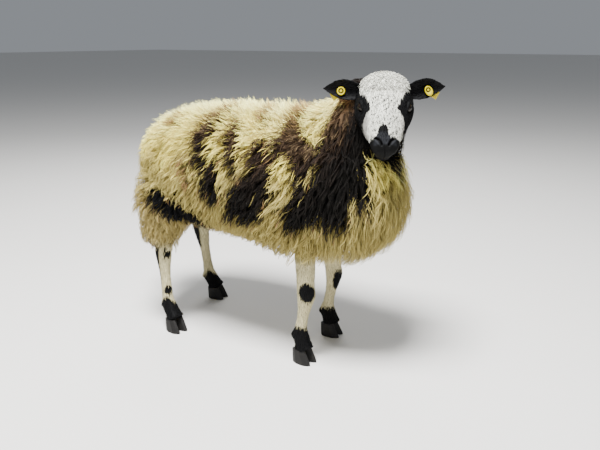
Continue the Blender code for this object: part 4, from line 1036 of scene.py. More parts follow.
def horn_material():
    """Hoof horn that grew in rings: nearly black and half matt, with raised paler rings."""
    made, tree, bsdf = blank("hoof_horn")
    place = node_in(tree, "ShaderNodeTexCoord")
    rings = node_in(tree, "ShaderNodeMapping", {"Scale": HORN_STRETCH},
                    {"Vector": place.outputs["Object"]})
    noise = node_in(tree, "ShaderNodeTexNoise", {"Scale": HORN_RINGS, "Detail": 5.0},
                    {"Vector": rings.outputs["Vector"]})
    ramp = node_in(tree, "ShaderNodeValToRGB", None, {"Fac": noise.outputs["Fac"]})
    ramp.color_ramp.elements[0].position = 0.35
    ramp.color_ramp.elements[0].color = rgba(HORN_DARK)
    ramp.color_ramp.elements[1].position = 0.75
    ramp.color_ramp.elements[1].color = rgba(HORN_PALE)
    bump = node_in(tree, "ShaderNodeBump", {"Strength": 0.35, "Distance": 0.001},
                   {"Height": noise.outputs["Fac"]})
    tree.links.new(ramp.outputs["Color"], bsdf.inputs["Base Color"])
    tree.links.new(bump.outputs["Normal"], bsdf.inputs["Normal"])
    bsdf.inputs["Roughness"].default_value = HORN_ROUGHNESS
    bsdf.inputs["IOR"].default_value = HORN_IOR
    bsdf.inputs["Specular IOR Level"].default_value = HORN_GLOSS
    return made


def tag_material():
    """Moulded yellow polyurethane of an ear tag, scuffed: a soft gloss, uneven from wear."""
    made, tree, bsdf = blank("moulded_tag_plastic")
    place = node_in(tree, "ShaderNodeTexCoord")
    noise = node_in(tree, "ShaderNodeTexNoise", {"Scale": TAG_SCUFFS, "Detail": 4.0},
                    {"Vector": place.outputs["Object"]})
    ramp = node_in(tree, "ShaderNodeValToRGB", None, {"Fac": noise.outputs["Fac"]})
    ramp.color_ramp.elements[0].position = 0.30
    ramp.color_ramp.elements[0].color = rgba(TAG_WORN)
    ramp.color_ramp.elements[1].position = 0.60
    ramp.color_ramp.elements[1].color = rgba(TAG_YELLOW)
    rough = node_in(tree, "ShaderNodeMapRange",
                    {"To Min": TAG_ROUGHNESS[0], "To Max": TAG_ROUGHNESS[1]},
                    {"Value": noise.outputs["Fac"]})
    tree.links.new(ramp.outputs["Color"], bsdf.inputs["Base Color"])
    tree.links.new(rough.outputs["Result"], bsdf.inputs["Roughness"])
    bsdf.inputs["IOR"].default_value = TAG_IOR
    bsdf.inputs["Subsurface Weight"].default_value = TAG_GLOW
    bsdf.inputs["Subsurface Radius"].default_value = TAG_GLOW_REACH
    return made


def tag_front_material():
    """The same moulded yellow plastic; the dirt and painted shade in its recess are carried by the
    mesh.
    """
    made, tree, bsdf = blank("moulded_tag_front")
    paint = node_in(tree, "ShaderNodeAttribute", attribute_name="coat")
    tree.links.new(paint.outputs["Color"], bsdf.inputs["Base Color"])
    bsdf.inputs["Roughness"].default_value = TAG_FRONT_ROUGHNESS
    bsdf.inputs["IOR"].default_value = TAG_IOR
    bsdf.inputs["Specular IOR Level"].default_value = TAG_FRONT_GLOSS
    return made


def set_colours(mesh, colours):
    """Writes the markings to the mesh, one colour a point."""
    layer = mesh.color_attributes.new("coat", "FLOAT_COLOR", "POINT")
    full = np.ones((len(mesh.vertices), 4), np.float32)
    full[:, :3] = np.clip(colours, 0, 1)
    layer.data.foreach_set("color", full.ravel())


# Skin


def widened(rows):
    """Rows with the skin's share of the coat's depth added to their half sizes."""
    made = []
    for r in rows:
        depth = r[-1] * SKIN_SHARE
        made.append(tuple(r[:3]) + tuple(v + depth for v in r[3:6]) + (r[-1],))
    return made


def trunk_rows():
    return [(x + SHIFT.x, SHIFT.y, z, wide, rise, drop, depth)
            for x, z, wide, rise, drop, depth in TRUNK_ROWS]


def remeshed(name, meshes, size, rounds):
    """The meshes fused to one even skin of fine faces, eased a little."""
    made = add_object(name, join_meshes(name, meshes))
    fuse = made.modifiers.new("fuse", "REMESH")
    fuse.mode = "VOXEL"
    fuse.voxel_size = size
    ease = made.modifiers.new("ease", "SMOOTH")
    ease.factor = 0.5
    ease.iterations = rounds
    apply_modifiers(made)
    return made


def body_skin():
    """Trunk, neck, thighs, tail and legs as one skin under the fleece."""
    trunk = tube_grid(widened(trunk_rows()), LEVEL, *FORM_RINGS["trunk"])
    neck = tube_grid(widened(shifted(NECK_ROWS)), LEVEL, *FORM_RINGS["neck"])
    tail = tube_grid(shifted(TAIL_ROWS), LEVEL, *FORM_RINGS["tail"])
    parts = [grid_mesh("trunk", trunk), grid_mesh("neck", neck), grid_mesh("tail", tail)]
    for side in (1, -1):
        thigh = tube_grid(widened(thigh_rows(side)), LEVEL, *FORM_RINGS["thigh"])
        parts.append(grid_mesh("thigh", thigh))
    for name in FEET:
        rows, side = leg_rows(name)
        parts.append(grid_mesh(name, tube_grid(rows, side, *FORM_RINGS["leg"])))
        parts += [dewclaw(rows, side, way) for way in (1, -1)]
    return remeshed("skin", parts, BODY_VOXEL, 3)


def dewclaw(rows, side, way):
    """A small claw behind the fetlock."""
    row = rows[DEWCLAW_ROW]
    side = np.array(side)
    ahead = np.array([side[1], -side[0], 0.0])
    wide, long, tall = DEWCLAW
    middle = np.array(row[:3]) - ahead * (row[5] * DEWCLAW_SINK) + side * (way * DEWCLAW_ASIDE)
    up = np.array([0, 0, 1.0])
    path = [middle + up * tall * 0.6, middle + up * tall * 0.2, middle - up * tall * 0.1,
            middle - ahead * long * 0.35 - up * tall * 0.8]
    return grid_mesh("dewclaw", ring_sweep(path, [wide * k for k in (0.35, 0.75, 1.0, 0.45)], 12))


# A direction that no swept path follows, so that its rings don't twist
SWEEP_GUIDE = np.array([0.31, 0.17, 0.93])


def ring_sweep(path, sizes, around):
    """Rings of the given sizes along a path."""
    path = np.array([np.asarray(p, float) for p in path])
    ahead = unit(np.gradient(path, axis=0))
    side = unit(np.cross(ahead, SWEEP_GUIDE))
    up = np.cross(side, ahead)
    turn = np.arange(around) * math.tau / around
    size = np.asarray(sizes)[:, None, None]
    return path[:, None] + (side[:, None] * np.cos(turn)[None, :, None] +
                            up[:, None] * np.sin(turn)[None, :, None]) * size


def eye_places():
    """Middle and outward direction of each eye."""
    for side in (1, -1):
        out = unit(LEFT * side * EYE_OUT[0] + OUT * EYE_OUT[1] + ALONG * EYE_OUT[2])
        yield side, head_place(EYE_AT[0], side * EYE_AT[1], EYE_AT[2]), out


def eye_frame(out):
    wide = unit(ALONG - out * (ALONG @ out))
    return wide, np.cross(out, wide)


def lid_mesh(middle, out):
    """The rim of both eyelids round the eye."""
    wide, tall = eye_frame(out)
    around, sides = 48, 12
    rings = []
    for k in range(around + 1):
        a = math.tau * k / around
        c, q = math.cos(a), math.sin(a)
        p = middle + out * (EYE_RADIUS * LID_STAND) + wide * (LID_WIDE * c) + \
            tall * (LID_TALL * q) - out * (LID_CORNER * c ** 2)
        away = unit(wide * (c / LID_WIDE) + tall * (q / LID_TALL))
        thick = LID_THICK + LID_UPPER * max(q, 0)
        rings.append([p + away * (thick * math.cos(b)) + out * (thick * math.sin(b))
                      for b in (math.tau * i / sides for i in range(sides))])
    mesh = bpy.data.meshes.new("lid")
    grid = np.array(rings[:-1])
    faces = []
    for r in range(around):
        for i in range(sides):
            s, j = (r + 1) % around, (i + 1) % sides
            faces.append((r * sides + i, r * sides + j, s * sides + j, s * sides + i))
    mesh.from_pydata(list(map(tuple, grid.reshape(-1, 3))), [], faces)
    shape = bmesh.new()
    shape.from_mesh(mesh)
    bmesh.ops.recalc_face_normals(shape, faces=shape.faces)
    if shape.calc_volume(signed=True) < 0:
        bmesh.ops.reverse_faces(shape, faces=shape.faces)
    shape.to_mesh(mesh)
    shape.free()
    return mesh


def ear_mesh(side):
    """A cupped ear with rounded rims, its root sunk into the head."""
    steps, half_steps = 44, 14
    along = ear_axes(side)[0]
    there = list(range(-half_steps, half_steps + 1))
    rings = []
    for i in range(-3, steps + 1):
        u = max(i / steps, 0)
        sunk = along * min(i / steps, 0) * EAR_LENGTH
        wall = EAR_WALL * (1 - EAR_THINS * u)
        ring = [ear_point(side, u, j / half_steps, wall / 2) + sunk for j in there]
        ring += [ear_point(side, u, j / half_steps, -wall / 2) + sunk for j in there[::-1]]
        rings.append(ring)
    return grid_mesh("ear", np.array(rings))


# Line of the mouth: where it starts, its height, its fall to the corner, depth and half width
MOUTH_START = (0.165, 0.182)
MOUTH_LEVEL = -0.013
MOUTH_FALL = 0.10
MOUTH_DEEP = 0.0046
MOUTH_HALF = 0.0011
# Lips raised along it: height, distance from it and half width
LIP_HIGH = 0.0012
LIP_AT = 0.0040
LIP_HALF = 0.0026
# Split of the upper lip: half width and depth
SPLIT_HALF = 0.0012
SPLIT_DEEP = 0.0026
# Nostrils: depth of the slit, height of its rim, and the rim's place and half width in shares
NOSTRIL_DEEP = 0.0065
NOSTRIL_RIM = (0.0018, 1.7, 0.6)
# How much the muzzle narrows towards the lips
MUZZLE_NARROW = 0.46
# Shapes pressed in or raised on the head: distance along the face, to the side, out, then the
# radii in those directions and the height in metres
HEAD_FEATURES = [
    (0.080, 0.046, 0.030, 0.020, 0.012, 0.010, 0.0040),
    (0.106, 0.047, 0.008, 0.012, 0.012, 0.008, -0.0028),
    (0.130, 0.040, 0.012, 0.022, 0.010, 0.006, -0.0016),
    (0.100, 0.060, -0.045, 0.034, 0.020, 0.024, 0.0040),
    (0.150, 0.034, -0.028, 0.020, 0.014, 0.012, -0.0026),
    (0.170, 0.030, 0.006, 0.024, 0.012, 0.010, -0.0014),
    (0.213, 0.021, 0.010, 0.006, 0.008, 0.008, 0.0022),
    (0.207, 0.031, -0.024, 0.012, 0.010, 0.007, 0.0016),
    (0.122, 0.000, 0.046, 0.046, 0.020, 0.020, 0.0034),
]


def shape_head(mesh):
    """Brow, cheek, nose bridge, nostrils, mouth line and lids, moved in and out of the skin."""
    p = points_of(mesh)
    n = normals_of(mesh)
    far, left, out = on_head(p)
    move = np.zeros(len(p))
    for f, a, o, rf, ra, ro, high in HEAD_FEATURES:
        q = ((far - f) / rf) ** 2 + ((np.abs(left) - a) / ra) ** 2 + ((out - o) / ro) ** 2
        move += high * np.exp(-q)
    inside = smooth(*MOUTH_START, far)
    level = MOUTH_LEVEL - MOUTH_FALL * np.abs(left) * (1 - smooth(0.18, 0.22, far))
    gap = np.abs(out - level)
    move -= MOUTH_DEEP * np.exp(-(gap / MOUTH_HALF) ** 2) * inside
    move += LIP_HIGH * np.exp(-((gap - LIP_AT) / LIP_HALF) ** 2) * inside
    slit = np.exp(-(left / SPLIT_HALF) ** 2) * smooth(0.208, 0.216, far) * smooth(-0.014, -0.006, out)
    move -= SPLIT_DEEP * slit
    p += n * move[:, None]
    gap = nostril_gap(far, left, out)
    rim_high, rim_at, rim_half = NOSTRIL_RIM
    p -= n * (NOSTRIL_DEEP * (1 - smooth(0.35, 1.15, gap)))[:, None]
    p += n * (rim_high * np.exp(-((gap - rim_at) / rim_half) ** 2))[:, None]
    narrow = MUZZLE_NARROW * smooth(0.165, 0.205, far) * (1 - smooth(-0.016, 0.024, out))
    p -= LEFT[None] * ((left - MUZZLE_MIDDLE) * narrow)[:, None]
    for _, middle, eye_out in eye_places():
        wide, tall = eye_frame(eye_out)
        away = p - middle
        across, up = away @ wide, away @ tall
        q = np.hypot(across / SOCKET_WIDE, up / SOCKET_TALL)
        depth = away @ eye_out
        goal = np.sqrt(np.maximum(EYE_RADIUS ** 2 - across ** 2 - up ** 2, 0)) - SOCKET_SINK
        share = (1 - smooth(0.92, 1.12, q)) * (depth > 0)
        p -= eye_out * (np.maximum(depth - goal, 0) * share)[:, None]
    set_points(mesh, p)


def build_skin():
    """One skin for the whole animal, with its head shaped finer."""
    body = body_skin()
    head_rows = [tuple(head_place(far, 0, 0)) + (wide, rise, drop, 0.0, pinch)
                 for far, wide, rise, drop, pinch in HEAD_ROWS]
    parts = [grid_mesh("head", tube_grid(head_rows, tuple(LEFT), *FORM_RINGS["head"], HEAD_POWER))]
    parts += [lid_mesh(middle, out) for _, middle, out in eye_places()]
    parts += [ear_mesh(side) for side in (1, -1)]
    head = remeshed("head_skin", parts, HEAD_VOXEL, 2)
    shape_head(head.data)
    skin = add_object("skin", body.data.copy())
    join = skin.modifiers.new("join", "BOOLEAN")
    join.operation, join.solver, join.object = "UNION", "MANIFOLD", head
    apply_modifiers(skin)
    p = points_of(skin.data)
    colours = body_paint(p)
    far, left, out = on_head(p)
    near = (far > -0.03) & (far < 0.26) & (np.abs(left) < 0.20) & (out > -0.13)
    near &= p[:, 2] > 0.55
    tree = tree_of(head.data)
    face = np.zeros(len(p), bool)
    face[near] = [tree.find_nearest(q)[3] < SKIN_MATCH for q in p[near]]
    colours[face] = face_paint(p[face])
    colours[face & (np.abs(left) > EAR_FOOT) & (far < 0.075)] = BLACK_HAIR
    for _, middle, _ in eye_places():
        colours[np.linalg.norm(p - middle, axis=1) < SOCKET_REACH] = BLACK_HAIR
    set_colours(skin.data, colours)
    body_mesh, head_mesh = body.data, head.data
    bpy.data.objects.remove(body)
    bpy.data.objects.remove(head)
    return skin, body_mesh, head_mesh


# Tufts and locks


def strand_piece(name, spines, normals, widths, thicks, colours, places, material):
    """Closed tapered strands: spines, normals and colours (n, steps, 3), sizes (n, steps)."""
    count, steps = spines.shape[:2]
    ahead = unit(np.gradient(spines, axis=1))
    side = unit(np.cross(ahead, normals))
    up = np.cross(side, ahead)
    w, h = widths[..., None], thicks[..., None]
    rings = np.stack([spines + side * w - up * h * 0.4, spines - side * w - up * h * 0.4,
                      spines + up * h], 2)
    body = rings[:, :-1].reshape(count, -1, 3)
    points = np.concatenate([body, spines[:, -1:, :]], 1)
    each = points.shape[1]
    quads, tris = [], []
    for r in range(steps - 2):
        for i in range(3):
            j = (i + 1) % 3
            quads.append((r * 3 + i, r * 3 + 3 + i, r * 3 + 3 + j, r * 3 + j))
    last = (steps - 2) * 3
    for i in range(3):
        tris.append((last + i, each - 1, last + (i + 1) % 3))
    tris.append((0, 1, 2))
    base = (np.arange(count) * each)[:, None]
    quads = (np.array(quads).ravel()[None] + base).ravel()
    tris = (np.array(tris).ravel()[None] + base).ravel()
    mesh = bpy.data.meshes.new(name)
    mesh.vertices.add(count * each)
    mesh.vertices.foreach_set("co", points.astype(np.float32).ravel())
    loops = np.concatenate([quads, tris])
    mesh.loops.add(len(loops))
    mesh.loops.foreach_set("vertex_index", loops.astype(np.int32))
    nq, nt = len(quads) // 4, len(tris) // 3
    mesh.polygons.add(nq + nt)
    starts = np.concatenate([np.arange(nq) * 4, nq * 4 + np.arange(nt) * 3]).astype(np.int32)
    mesh.polygons.foreach_set("loop_start", starts)
    mesh.update(calc_edges=True)
    smooth_shade(mesh)
    rows = np.repeat(np.arange(steps - 1) / (steps - 1), 3)
    across = np.tile([0.0, 1.0, 0.5], steps - 1)
    patch = np.stack([np.append(across, 0.5), np.append(rows, 1.0)], 1) * UV_PATCH
    uv = (places[:, None, :] + patch[None]).reshape(-1, 2)
    layer = mesh.uv_layers.new(name="OFBake")
    layer.data.foreach_set("uv", uv[loops].astype(np.float32).ravel())
    tint = np.concatenate([np.repeat(colours[:, :-1], 3, axis=1), colours[:, -1:]], 1)
    set_colours(mesh, tint.reshape(-1, 3))
    mesh.materials.append(material)
    made = add_object(name, mesh)
    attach(made, "root")
    return made


# Random tries for each place that a root may take
TRIES = 6


def scatter(mesh, spacing, allowed, seed):
    """Evenly spread points on a mesh, each with its normal."""
    mesh.calc_loop_triangles()
    p = points_of(mesh)
    tri = np.zeros(len(mesh.loop_triangles) * 3, np.int32)
    mesh.loop_triangles.foreach_get("vertices", tri)
    tri = tri.reshape(-1, 3)
    a, b, c = p[tri[:, 0]], p[tri[:, 1]], p[tri[:, 2]]
    cross = np.cross(b - a, c - a)
    area = np.linalg.norm(cross, axis=1) / 2
    keep = allowed((a + b + c) / 3)
    area = area * keep
    draw = np.random.default_rng(seed)
    count = int(area.sum() / (spacing * spacing) * TRIES)
    picks = draw.choice(len(tri), count, p=area / area.sum())
    r1, r2 = np.sqrt(draw.random(count)), draw.random(count)
    spots = a[picks] * (1 - r1)[:, None] + b[picks] * (r1 * (1 - r2))[:, None] + \
        c[picks] * (r1 * r2)[:, None]
    ways = unit(cross[picks])
    cells, chosen = {}, []
    for k, spot in enumerate(spots):
        key = tuple(int(v // spacing) for v in spot)
        close = False
        for dx in (-1, 0, 1):
            for dy in (-1, 0, 1):
                for dz in (-1, 0, 1):
                    for other in cells.get((key[0] + dx, key[1] + dy, key[2] + dz), ()):
                        d = spots[other] - spot
                        if d @ d < spacing * spacing:
                            close = True
                            break
        if not close:
            cells.setdefault(key, []).append(k)
            chosen.append(k)
    return spots[chosen], ways[chosen]


def on_thigh(p):
    """Points low on the thighs, where the wool is short."""
    return (p[:, 0] < THIGH_FRONT) & (p[:, 2] < THIGH_TOP)


def wool_lie(p, n):
    """Direction in which the wool hangs: down, and back along the sides."""
    ahead = p[:, 0] - LEAN_FROM
    back = np.where(ahead < 0, LEAN_SIDE, np.maximum(LEAN_LEAST, LEAN_SIDE - LEAN_LOSS * ahead))
    back = np.where(on_thigh(p), LEAN_THIGH, back)
    way = np.stack([-back, np.zeros(len(p)), -np.ones(len(p))], 1)
    return way - n * dot(way, n)[:, None]


def face_lie(p, n):
    """Short face hair lies towards the muzzle and outwards from the middle."""
    left = on_head(p)[1]
    way = ALONG[None] + LEFT[None] * (left * 5)[:, None]
    return way - n * dot(way, n)[:, None]


def down_lie(p, n):
    """Hair of the legs lies straight down."""
    way = np.tile(np.array([0.0, 0.0, -1.0]), (len(p), 1))
    return way - n * dot(way, n)[:, None]


def walk(tree, roots, normals, lengths, lie, steps, draw, stray):
    """Paths over the skin from the roots along the lie, with the normals under them."""
    paths, ways = [roots], [normals]
    at, n = roots.copy(), normals.copy()
    turned = draw.normal(0, stray, len(roots))
    heading = None
    for _ in range(steps - 1):
        way = unit(lie(at, n))
        way = unit(way + np.cross(n, way) * turned[:, None])
        heading = way if heading is None else unit(heading * 0.5 + way * 0.5)
        goal = at + heading * (lengths / (steps - 1))[:, None]
        at, n = np.zeros_like(goal), n.copy()
        for k in range(len(goal)):
            near, face, _, _ = tree.find_nearest(goal[k])
            at[k] = near
            n[k] = n[k] * 0.35 + np.array(face) * 0.65
        n = unit(n)
        paths.append(at.copy())
        ways.append(n.copy())
    return np.stack(paths, 1), np.stack(ways, 1)


def trunk_chart(p):
    """Place on the unwrapped skin of roots on the trunk: along it and round it."""
    turn = np.arctan2(-p[:, 1], p[:, 2] - TRUNK_AXIS) / math.tau + 0.5
    along = np.clip((p[:, 0] - TRUNK_REACH[0]) / TRUNK_REACH[1], 0, 1)
    return np.stack([along * TRUNK_CHART, turn * TRUNK_CHART], 1)


def depth_at(p):
    """Depth of the coat over the bare skin."""
    share = np.clip((p[:, 0] - COAT_START) / COAT_RUN, 0, 1)
    depth = COAT_REAR + COAT_GAIN * share
    neck = (p[:, 0] > NECK_X) & (p[:, 2] > NECK_Z)
    high = np.maximum(NECK_LEAST, NECK_DEPTH - NECK_LOSS * (p[:, 2] - NECK_Z))
    return np.where(on_thigh(p), THIGH_DEPTH, np.where(neck, high, depth))


def in_fields(p, side_field, top_field):
    """Points past x, over z and right of y, or past x and over z of the second field."""
    x, z, y = side_field
    inside = (p[:, 0] > x) & (p[:, 2] > z) & (p[:, 1] < y)
    return inside | ((p[:, 0] > top_field[0]) & (p[:, 2] > top_field[1]))


def grows_fleece(p):
    """Where staples stand: all of the body but what the head covers, and the bare legs."""
    leg = p[:, 2] < np.where(p[:, 0] > 0.0, FLEECE_FOOT_FRONT, FLEECE_FOOT_REAR)
    return ~(in_fields(p, HEAD_COVERS, HEAD_COVERS_TOP) | leg)


def grows_poll_curls(p):
    far, left, out = on_head(p)
    return (far < POLL_END) & (out > POLL_LOW) & (np.abs(left) < POLL_SIDE)


def grows_face_hair(p):
    far, left, out = on_head(p)
    ear = (np.abs(left) > EAR_SIDE) & (far < EAR_END)
    open_skin = nostril_gap(far, left, out) < NOSTRIL_BARE
    return ~grows_poll_curls(p) & ~ear & ~open_skin & (far < FACE_END) & (far > 0.0)


def grows_ear_hair(p):
    far, left, _ = on_head(p)
    return (np.abs(left) > EAR_HAIR_SIDE) & (far < EAR_END)


def grows_leg_hair(p):
    top = np.where(p[:, 0] > 0.0, LEG_HAIR_TOP_FRONT, LEG_HAIR_TOP_REAR)
    return (p[:, 2] < top) & (p[:, 2] > LEG_HAIR_FOOT)


def grows_nape_wool(p):
    return in_fields(p, NAPE, NAPE_TOP)


def wool_pieces(ground, material):
    """The fleece: small pointed crimped staples, hanging down and back in layers."""
    body, tree = ground
    draw = np.random.default_rng(41)
    spacing = STAPLE_SPACING * QUICK_SPACING
    roots, normals = scatter(body, spacing, grows_fleece, 42)
    count = len(roots)
    depth = depth_at(roots)
    tail = roots[:, 0] < TAIL_FRONT
    back = smooth(*ON_BACK, normals[:, 2])
    front = smooth(*CHEST_START, roots[:, 0]) * (1 - smooth(*CHEST_TOP, roots[:, 2]))
    length = STAPLE_LENGTH * draw.uniform(0.75, 1.25, count)
    length *= (1 - BACK_SHORTER * back) * (1 + CHEST_LONGER * front)
    length = np.where(on_thigh(roots), length * THIGH_LENGTH, length)
    poll = np.linalg.norm(roots - head_place(*POLL_MIDDLE)[None], axis=1)
    length *= np.interp(poll, *POLL_SHORTER)
    length = np.where(tail, length * TAIL_LENGTH, length)
    t = np.linspace(0, 1, WOOL_STEPS)
    base, ways = walk(tree, roots, normals, length, wool_lie, WOOL_STEPS, draw, STAPLE_STRAY)
    high = depth * (1 - SKIN_SHARE) * draw.uniform(0.80, 1.10, count)
    high = np.where(tail, TAIL_DEPTH, high) * np.interp(poll, *POLL_LOWER)
    lying = np.interp(t, STAPLE_AT, LYING)
    rising = np.interp(t, STAPLE_AT, STANDING)
    heights = (lying[None] + (rising - lying)[None] * back[:, None]) * high[:, None]
    lifted = draw.uniform(-0.16, 0.20, count)[:, None]
    heights += (smooth(0.6, 1.0, t)[None] * lifted) * high[:, None]
    ahead = unit(np.gradient(base, axis=1))
    across = unit(np.cross(ahead, ways))
    guide = base + ways * heights[..., None]
    bend = draw.uniform(0, math.tau, count)[:, None] + t[None] * math.pi
    guide += across * (np.sin(bend) * STAPLE_BEND * t[None])[..., None]

    # The locks of each staple: gathered towards its tip, crimped, and a few of them astray
    own = np.repeat(np.arange(count), LOCKS_PER_STAPLE)
    total = len(own)
    turn = draw.uniform(0, math.tau, total)
    reach = np.sqrt(draw.random(total)) * STAPLE_RADIUS * draw.uniform(0.8, 1.15, total)
    gather = np.interp(t, *LOCK_GATHER)
    side_off = (np.cos(turn) * reach)[:, None] * gather[None]
    fore_off = (np.sin(turn) * reach)[:, None] * np.interp(t, [0, 1], [1.0, 0.7])[None]
    sinks = draw.uniform(-0.30, 0.10, total)[:, None]
    up_off = sinks * heights[own] * np.sin(math.pi * t * 0.8)[None]
    spines = guide[own] + across[own] * side_off[..., None] + ahead[own] * fore_off[..., None] + \
        ways[own] * up_off[..., None]
    start = draw.uniform(0, math.tau, total)[:, None]
    waves = length[own] / (CRIMP_WAVE * draw.uniform(0.8, 1.25, total))
    wave = start + t[None] * waves[:, None] * math.tau
    swing = CRIMP_SIZE * draw.uniform(0.5, 1.4, total)[:, None] * smooth(0.0, 0.3, t)[None]
    spines += across[own] * (np.sin(wave) * swing)[..., None]
    spines += ways[own] * (np.cos(wave) * swing * 0.5)[..., None]
    stray = draw.random(total) < STRAY_SHARE
    astray = draw.normal(0, STRAY_REACH, stray.sum())[:, None] * t[None] ** 2
    spines[stray] += across[own][stray] * astray[..., None]
    width = LOCK_HALF * draw.uniform(0.65, 1.30, total)[:, None] * \
        np.interp(t, *LOCK_TAPER)[None]
    width = np.where(stray[:, None], width * STRAY_WIDTH, width)
    thick = width * LOCK_THICK
    # Colours from the markings under each lock: bleached tips, dark yellow grease at the roots, and
    # painted shade that darkens the roots
    fuzz = draw.normal(0, 0.0050, (total, 3))
    fuzz[draw.random(total) < 0.08] *= 3.0
    paint = body_paint(guide[own][:, PAINT_STEP] + fuzz)
    bare = paint.mean(1)
    pale = smooth(*CREAM_WOOL, bare)[:, None, None]
    browned = smooth(*BROWN_WOOL, bare)[:, None]
    tip = DARK_TIP[None] + (BROWN_TIP - DARK_TIP)[None] * browned
    darkens = (bare[:, None] < DARK_WOOL) & (bare[:, None] > BLACK_ROOT)
    root = np.where(darkens, paint * BROWN_ROOT, paint)
    tip = np.where(pale[:, :, 0] > 0.5, paint * CREAM_TIP, tip)
    tip = np.where(bare[:, None] < BLACK_WOOL, paint * BLACK_TIP_GAIN + 0.004, tip)
    bleach = draw.random(total)
    bleach = np.where((bare < DARK_WOOL) & (draw.random(total) < BLEACHED_SHARE), 1.0, bleach)
    bleach = bleach[:, None, None] * smooth(*BLEACH_FROM, t)[None, :, None]
    colours = root[:, None, :] + (tip[:, None, :] - root[:, None, :]) * bleach
    bright = draw.normal(1.0, 0.13, total) * draw.normal(1.0, 0.08, count)[own]
    uneven, even = draw.uniform(0.55, 1.45, total), draw.uniform(0.80, 1.20, total)
    bright *= np.where(bare < DARK_WOOL, uneven, even)
    # Painted shade: each lock gets darker towards its root, where the other locks cover it
    root_shade = np.interp(t, *LOCK_ROOT_SHADE)
    colours = colours * bright[:, None, None] * root_shade[None, :, None]
    greasy = (0.30 + 0.25 * draw.random(count))[own][:, None, None]
    yellow = (1 - smooth(0.1, 0.8, t))[None, :, None] * greasy * pale
    colours = colours * (1 - yellow) + CREAM_ROOT[None, None] * yellow
    places = trunk_chart(spines[:, 0])
    triangles = (WOOL_STEPS - 2) * 6 + 4
    order = np.argsort(spines[:, 0, 0], kind="stable")
    pieces = max(1, math.ceil(total * triangles / PIECE_LIMIT))
    for k, pick in enumerate(np.array_split(order, pieces)):
        strand_piece(f"fleece_locks_{k + 1}", spines[pick], ways[own][pick], width[pick],
                     thick[pick], colours[pick], places[pick], material)


def short_tufts(name, ground, allowed, lie, paint, chart_of, material):
    """Small flat tufts that lie along the skin; ground is its mesh and the tree of its faces."""
    mesh, tree = ground
    spacing, length, half, lift, per, seed, curl, stray = TUFTS[name]
    draw = np.random.default_rng(seed)
    roots, normals = scatter(mesh, spacing * QUICK_SPACING, allowed, seed)
    roots, normals = np.repeat(roots, per, axis=0), np.repeat(normals, per, axis=0)
    count, steps = len(roots), len(TUFT_HEIGHTS)
    lengths = length * draw.uniform(0.7, 1.25, count)
    base, ways = walk(tree, roots, normals, lengths, lie, steps, draw, stray)
    heights = TUFT_HEIGHTS[None] * (lift * draw.uniform(0.6, 1.3, count))[:, None]
    ahead = unit(np.gradient(base, axis=1))
    across = unit(np.cross(ahead, ways))
    turn = draw.uniform(0, math.tau, count)[:, None] + np.linspace(0, 1, steps)[None] * TUFT_TURN
    spines = base + ways * heights[..., None] + across * (np.sin(turn) * curl)[..., None] + \
        ways * (np.maximum(np.cos(turn), 0) * curl * 0.6)[..., None]
    width = half * draw.uniform(0.7, 1.3, count)[:, None] * TUFT_WIDTHS[None]
    colour = paint(roots) * draw.normal(1.0, 0.16, count)[:, None]
    # Painted shade: each tuft gets darker towards its root
    colours = colour[:, None] * TUFT_ROOT_SHADE[None, :, None]
    strand_piece(name, spines, ways, width, width * TUFT_THICK, colours, chart_of(roots), material)


def head_chart(p):
    """Place on the unwrapped skin of roots on the head: along the face and round it."""
    far, left, out = on_head(p)
    turn = np.arctan2(left, out) / math.tau + 0.5
    return np.stack([0.66 + np.clip(far, -0.02, 0.24) * 1.3, turn * 0.45], 1)


def leg_chart(p):
    """Place on the unwrapped skin of roots on the legs: a strip for each, and its height."""
    names, which = nearest_leg(p)
    spots = np.array([[FEET[n][0] + SHIFT.x, FEET[n][1] + SHIFT.y] for n in names])[which]
    turn = np.arctan2(p[:, 1] - spots[:, 1], p[:, 0] - spots[:, 0]) / math.tau + 0.5
    return np.stack([0.02 + which * 0.16 + turn * 0.13, 0.65 + p[:, 2] * 0.8], 1)


def ear_chart(p):
    """Place on the unwrapped skin of roots on the ears: a field for each."""
    far, left, out = on_head(p)
    side = (left > 0).astype(float)
    return np.stack([0.68 + side * 0.15 + (np.abs(left) - 0.04) * 0.9, 0.52 + (far + out) * 0.9], 1)


def ear_lie(p, n):
    """Hair of the ears lies out towards their tips."""
    side = np.sign(on_head(p)[1])
    axes = np.array([ear_axes(int(s) or 1)[0] for s in (1, -1)])
    way = np.where(side[:, None] > 0, axes[0][None], axes[1][None])
    return way - n * dot(way, n)[:, None]


# Eyes, hooves and tags


